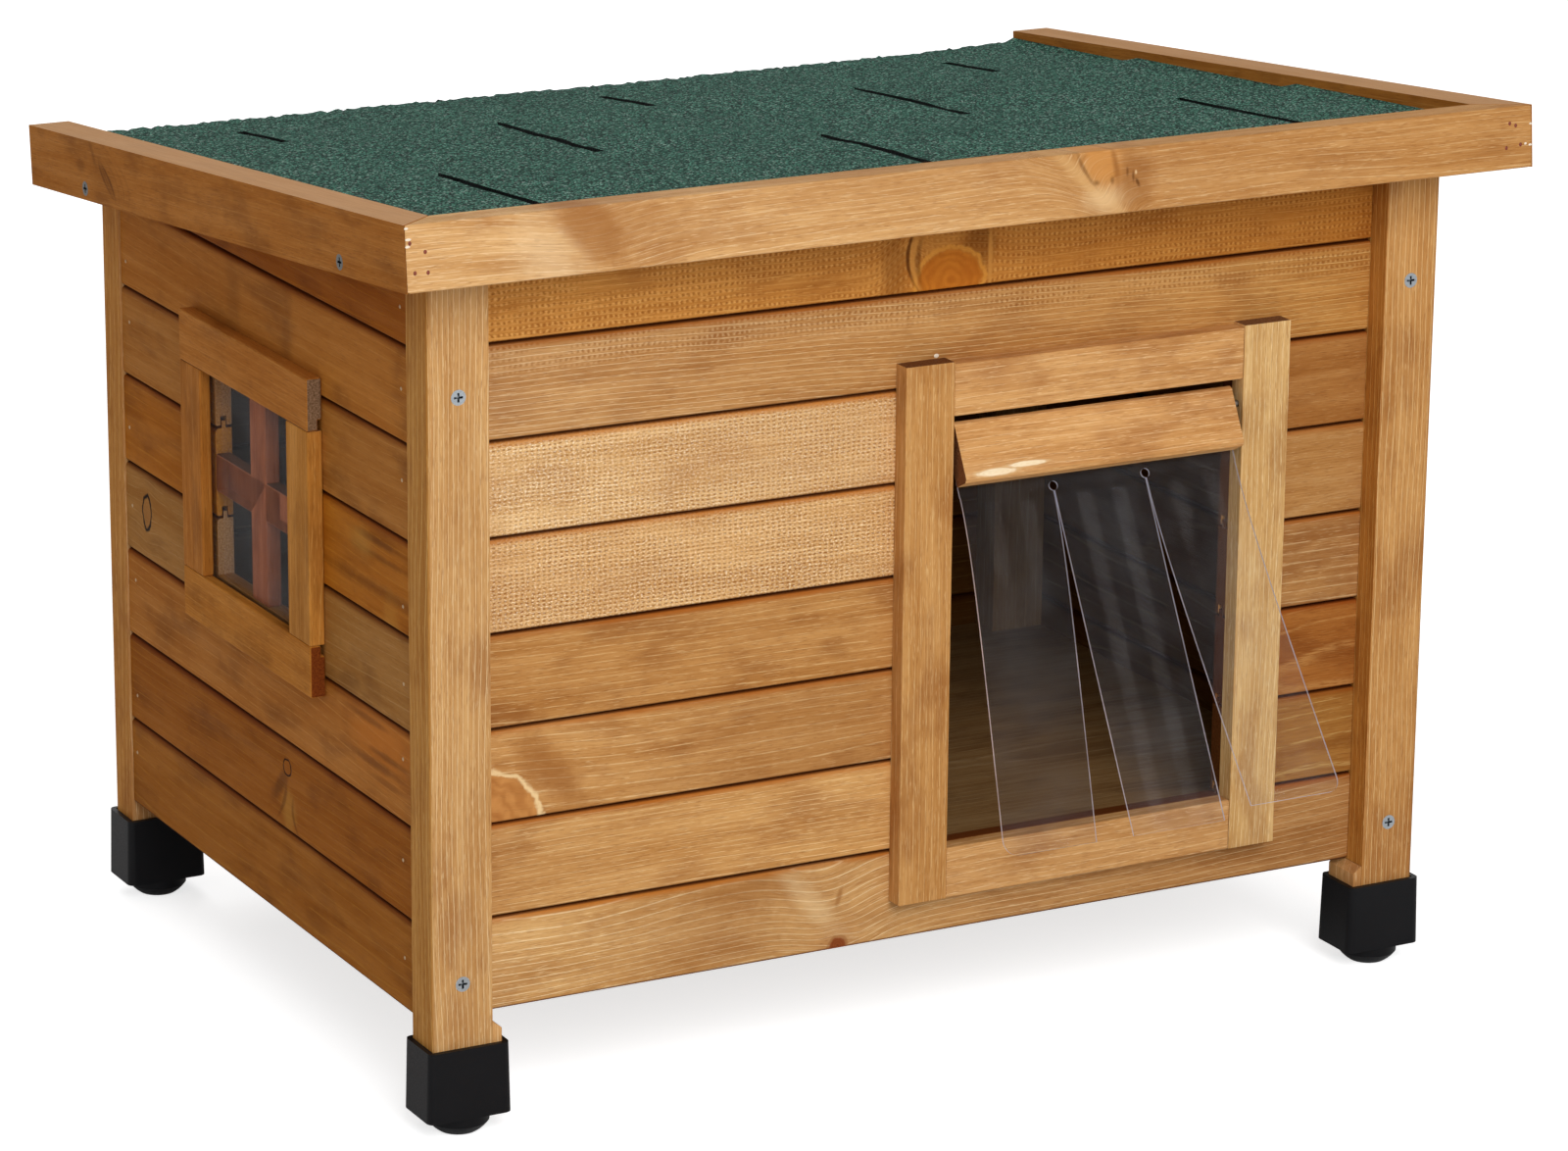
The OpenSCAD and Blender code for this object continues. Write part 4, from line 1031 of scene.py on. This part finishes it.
def sheet_piece(bm, name):
    bmesh.ops.recalc_face_normals(bm, faces=bm.faces)
    return add_object(name, mesh_from(bm, name, *sheet_mats))


def make_strip(index, name, end_angle, reach):
    """A strip that curves from the flap's tilt to its end angle, mostly within its reach."""
    def angle_at(mark):
        return end_angle + (TILT - end_angle) * math.exp(-mark / reach)

    marks = {HOLE * math.sin(quarter(k, HOLE_STEPS)) for k in range(HOLE_STEPS + 1)}
    marks |= {LENGTH * k / LENGTH_STEPS for k in range(2, LENGTH_STEPS + 1)}
    marks |= {LENGTH - LEFT_ROUND * (1 - math.sin(quarter(k, ROUND_STEPS))) for k in range(ROUND_STEPS)}
    left = SHEET_LEFT + index * STRIP
    at = flap_point(SHEET_BACK, -SLIT_DROP)
    rows = []
    last = 0.0
    for mark in sorted(marks):
        angle = angle_at((last + mark) / 2)
        at += Vector((-math.sin(angle), -math.cos(angle))) * (mark - last)
        angle = angle_at(mark)
        square = Vector((math.cos(angle), -math.sin(angle))) * HALF_SHEET
        low, high = left + SLIT_SIDE, left + STRIP - SLIT_SIDE
        notch = leave_circle(HOLE, mark)
        if index > 0:
            low = max(low, left + notch)
        if index < STRIPS - 1:
            high = min(high, left + STRIP - notch)
        rounding = LEFT_ROUND if index == 0 else RIGHT_ROUND
        rest = LENGTH - mark
        if rest < rounding:
            cut = rounding - leave_circle(rounding, rounding - rest)
            if index == 0:
                low += cut
            elif index == STRIPS - 1:
                high -= cut
        rows.append((low, high, at - square, at + square))
        last = mark
    bm = bmesh.new()
    add_sheet(bm, rows, smooth=True, end=True)
    return sheet_piece(bm, "clear_" + name)


def make_header():
    """The part of the sheet behind the bar, with half of each hole cut from its lower edge."""
    def row(low, high, up):
        return (low, high, flap_point(SHEET_BACK - HALF_SHEET, -SLIT_DROP + up),
                flap_point(SHEET_BACK + HALF_SHEET, -SLIT_DROP + up))

    bm = bmesh.new()
    right = SHEET_LEFT + STRIPS * STRIP
    add_sheet(bm, [row(SHEET_LEFT, right, up) for up in (SHEET_ABOVE, 0.4 * SHEET_ABOVE, HOLE)],
              start=True)
    for index in range(STRIPS):
        rows = []
        for k in range(HOLE_STEPS + 1):
            up = HOLE * math.cos(quarter(k, HOLE_STEPS))
            notch = leave_circle(HOLE, up)
            low = SHEET_LEFT + index * STRIP + (notch if index > 0 else 0)
            high = SHEET_LEFT + (index + 1) * STRIP - (notch if index < STRIPS - 1 else 0)
            rows.append(row(low, high, up))
        add_sheet(bm, rows)
    return sheet_piece(bm, "clear_header")


header = make_header()
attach(header, "flap")
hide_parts("flap_sheet")
strips = (("left", 14.2, 0.026), ("middle", 28.1, 0.03), ("right", 38.6, 0.03))
for index, (name, end_angle, reach) in enumerate(strips):
    strip = make_strip(index, name, math.radians(end_angle), reach)
    top, low = (Vector((0, *flap_point(SHEET_BACK, -SLIT_DROP - below)))
                for below in (BLEND_FROM, BLEND_TO))
    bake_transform(strip)
    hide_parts("flap_tongue_" + name)


def joined(name, makers, material, body):
    """One smooth object from many small meshes."""
    bm = bmesh.new()
    for maker in makers:
        maker(bm)
    mesh = mesh_from(bm, name, material)
    for polygon in mesh.polygons:
        polygon.use_smooth = True
    piece = add_object(name, mesh)
    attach(piece, body)


def dot(place, normal, size, stretch=1.0, rise=0.35):
    """A low round nail head on a face, as a maker for joined()."""
    def make(bm):
        turn = Vector((0, 0, 1)).rotation_difference(Vector(normal)).to_matrix().to_4x4()
        scale = Matrix.Diagonal((size * stretch, size, size * rise, 1))
        matrix = Matrix.Translation(place) @ turn @ scale
        bmesh.ops.create_uvsphere(bm, u_segments=12, v_segments=8, radius=1.0, matrix=matrix)
    return make


def on_trim(x, drop, back=0.0):
    """A point of the roof's trim, drop below its top and back from its front edge."""
    return (x, ROOF_FRONT + back * math.cos(SLOPE) - drop * math.sin(SLOPE),
            ROOF_TOP - back * math.sin(SLOPE) - drop * math.cos(SLOPE))


pale_nail = mottled("pale_nail", srgb(206, 178, 138), srgb(168, 128, 84))
dark_nail = mottled("dark_nail", srgb(150, 62, 36), srgb(84, 34, 20))
chipped = mottled("chipped_wood", srgb(248, 240, 226), srgb(226, 204, 172))
to_front, to_left = (0, -1, 0), (-1, 0, 0)

# A nail near each end of the left wall's boards, where the roof's trim doesn't hide it
NAIL_FROM_FRONT, NAIL_FROM_BACK = 0.009, 0.008
NAIL_UP, NAIL_ALONG = 0.009, 0.002
TRIM_LOW = 0.036
spread = random.Random(5)
side_nails = []
for row in range(ROWS):
    for y in (FRONT + POST_DEPTH + NAIL_FROM_FRONT, BACK - POST_DEPTH - NAIL_FROM_BACK):
        z = WALL_LOW + PITCH * (row + 0.5) + spread.uniform(-NAIL_UP, NAIL_UP)
        if z <= ROOF_TOP - math.tan(SLOPE) * (y - ROOF_FRONT) - TRIM_LOW:
            along = y + spread.uniform(-NAIL_ALONG, NAIL_ALONG)
            side_nails.append(dot((LEFT_FACE, along, z), to_left, 0.0009))
joined("side_nails", side_nails, pale_nail, "cabin")

# Brads and chips of the fascia by x and the drop below its top edge, with the chips' widths
fascia_brads = ((-0.2826, 0.0078), (-0.2757, 0.0120), (-0.2808, 0.0205), (-0.2748, 0.0208),
                (0.2725, 0.0078), (0.2758, 0.0090), (0.2784, 0.0180), (0.2705, 0.0190))
joined("fascia_brads", [dot(on_trim(x, drop), to_front, 0.001, 0.8) for x, drop in fascia_brads],
       dark_nail, "roof")
chips = ((-0.2832, 0.0062, 2.4), (-0.2836, 0.0092, 2.0), (-0.2839, 0.0015, 1.6),
         (0.2838, 0.0185, 1.6), (0.2841, 0.0088, 1.2), (0.2812, 0.0178, 1.2))
joined("fascia_chips",
       [dot(on_trim(x, drop), to_front, 0.0006, wide, 0.15) for x, drop, wide in chips],
       chipped, "roof")
# A small pale dot on a front board.
joined("pale_board_dot", [dot((-0.0024, FRONT + 0.0127, 0.3272), to_front, 0.001, 1.3, 0.2)],
       chipped, "cabin")
# Brads of the left trim by the way back and the drop, sunk a little into its face
TRIM_BRAD = -0.28475
trim_brads = ((0.0072, 0.0071), (0.0098, 0.0092), (0.0072, 0.0180), (0.0098, 0.0195))
joined("trim_brads",
       [dot(on_trim(TRIM_BRAD, drop, back), to_left, 0.0007) for back, drop in trim_brads],
       pale_nail, "roof")


def ground_material():
    """White ground that glows a little to the camera, so that it is white in the picture."""
    ground = bpy.data.materials.new("ground")
    ground.use_nodes = True
    g = Nodes(ground.node_tree)
    out = g.new("OutputMaterial")
    diffuse = g.new("BsdfDiffuse")
    g.put(diffuse, Color=(0.8, 0.8, 0.8, 1))
    glow = g.new("Emission")
    g.put(glow, Strength=g.out(g.new("LightPath"), "Is Camera Ray") * 0.7)
    g.put(out, Surface=g.of(g.new("AddShader"), g.out(diffuse), g.out(glow)))
    return ground


def studio():
    """An even white world, which lights the object less brightly than it looks."""
    world = bpy.data.worlds.new("studio")
    bpy.context.scene.world = world
    world.use_nodes = True
    g = Nodes(world.node_tree)
    out = g.new("OutputWorld")
    path = g.new("LightPath")
    seen = g.math("MAXIMUM", g.out(path, "Is Camera Ray"), g.out(path, "Is Transmission Ray"))
    seen = g.math("MAXIMUM", seen, g.out(path, "Is Glossy Ray") * 0.5)
    back = g.new("Background")
    g.put(back, Color=(1, 1, 1, 1), Strength=g.span(seen, 0.0, 1.0, 0.36, 1.0))
    g.put(out, Surface=g.out(back))


def lamp(name, place, size, power):
    """A square lamp that looks at the middle of the part."""
    data = bpy.data.lights.new(name, "AREA")
    data.shape = "SQUARE"
    data.size = size
    data.energy = power
    obj = add_object(name, data)
    obj.location = place
    obj.rotation_euler = (Vector((0, 0, 0.2)) - Vector(place)).to_track_quat("-Z", "Y").to_euler()


def add_camera(place, yaw, pitch, roll, lens):
    """The photo's camera, which looks along +Y when its angles in degrees are zero."""
    yaw, pitch, roll = math.radians(yaw), math.radians(pitch), math.radians(roll)
    ahead = Vector((math.sin(yaw) * math.cos(pitch), math.cos(yaw) * math.cos(pitch), math.sin(pitch)))
    level = Vector((math.cos(yaw), -math.sin(yaw), 0))
    upright = level.cross(ahead)
    right = level * math.cos(roll) + upright * math.sin(roll)
    up = upright * math.cos(roll) - level * math.sin(roll)
    data = bpy.data.cameras.new("camera")
    data.sensor_fit = "HORIZONTAL"
    data.sensor_width = 36.0
    data.lens = lens
    data.clip_end = 50
    camera = add_object("camera", data)
    turn = Matrix((right, up, -ahead)).transposed().to_4x4()
    camera.matrix_world = Matrix.Translation(place) @ turn
    bpy.context.scene.camera = camera


# Floor, light and camera
bm = bmesh.new()
bmesh.ops.create_grid(bm, x_segments=1, y_segments=1, size=9.0)
floor = add_object("floor", mesh_from(bm, "floor", ground_material()))
studio()
lamp("key", (-0.5, -2.5, 1.7), 1.7, 54)
lamp("fill", (-3.2, -1.6, 1.6), 2.0, 4)
lamp("rim", (0.6, 2.6, 2.8), 1.8, 30)
add_camera((-1.23305, -2.280123, 0.95145), 28.33, -16.43, 0.53, 129.97)
bpy.context.scene.view_settings.view_transform = "Standard"
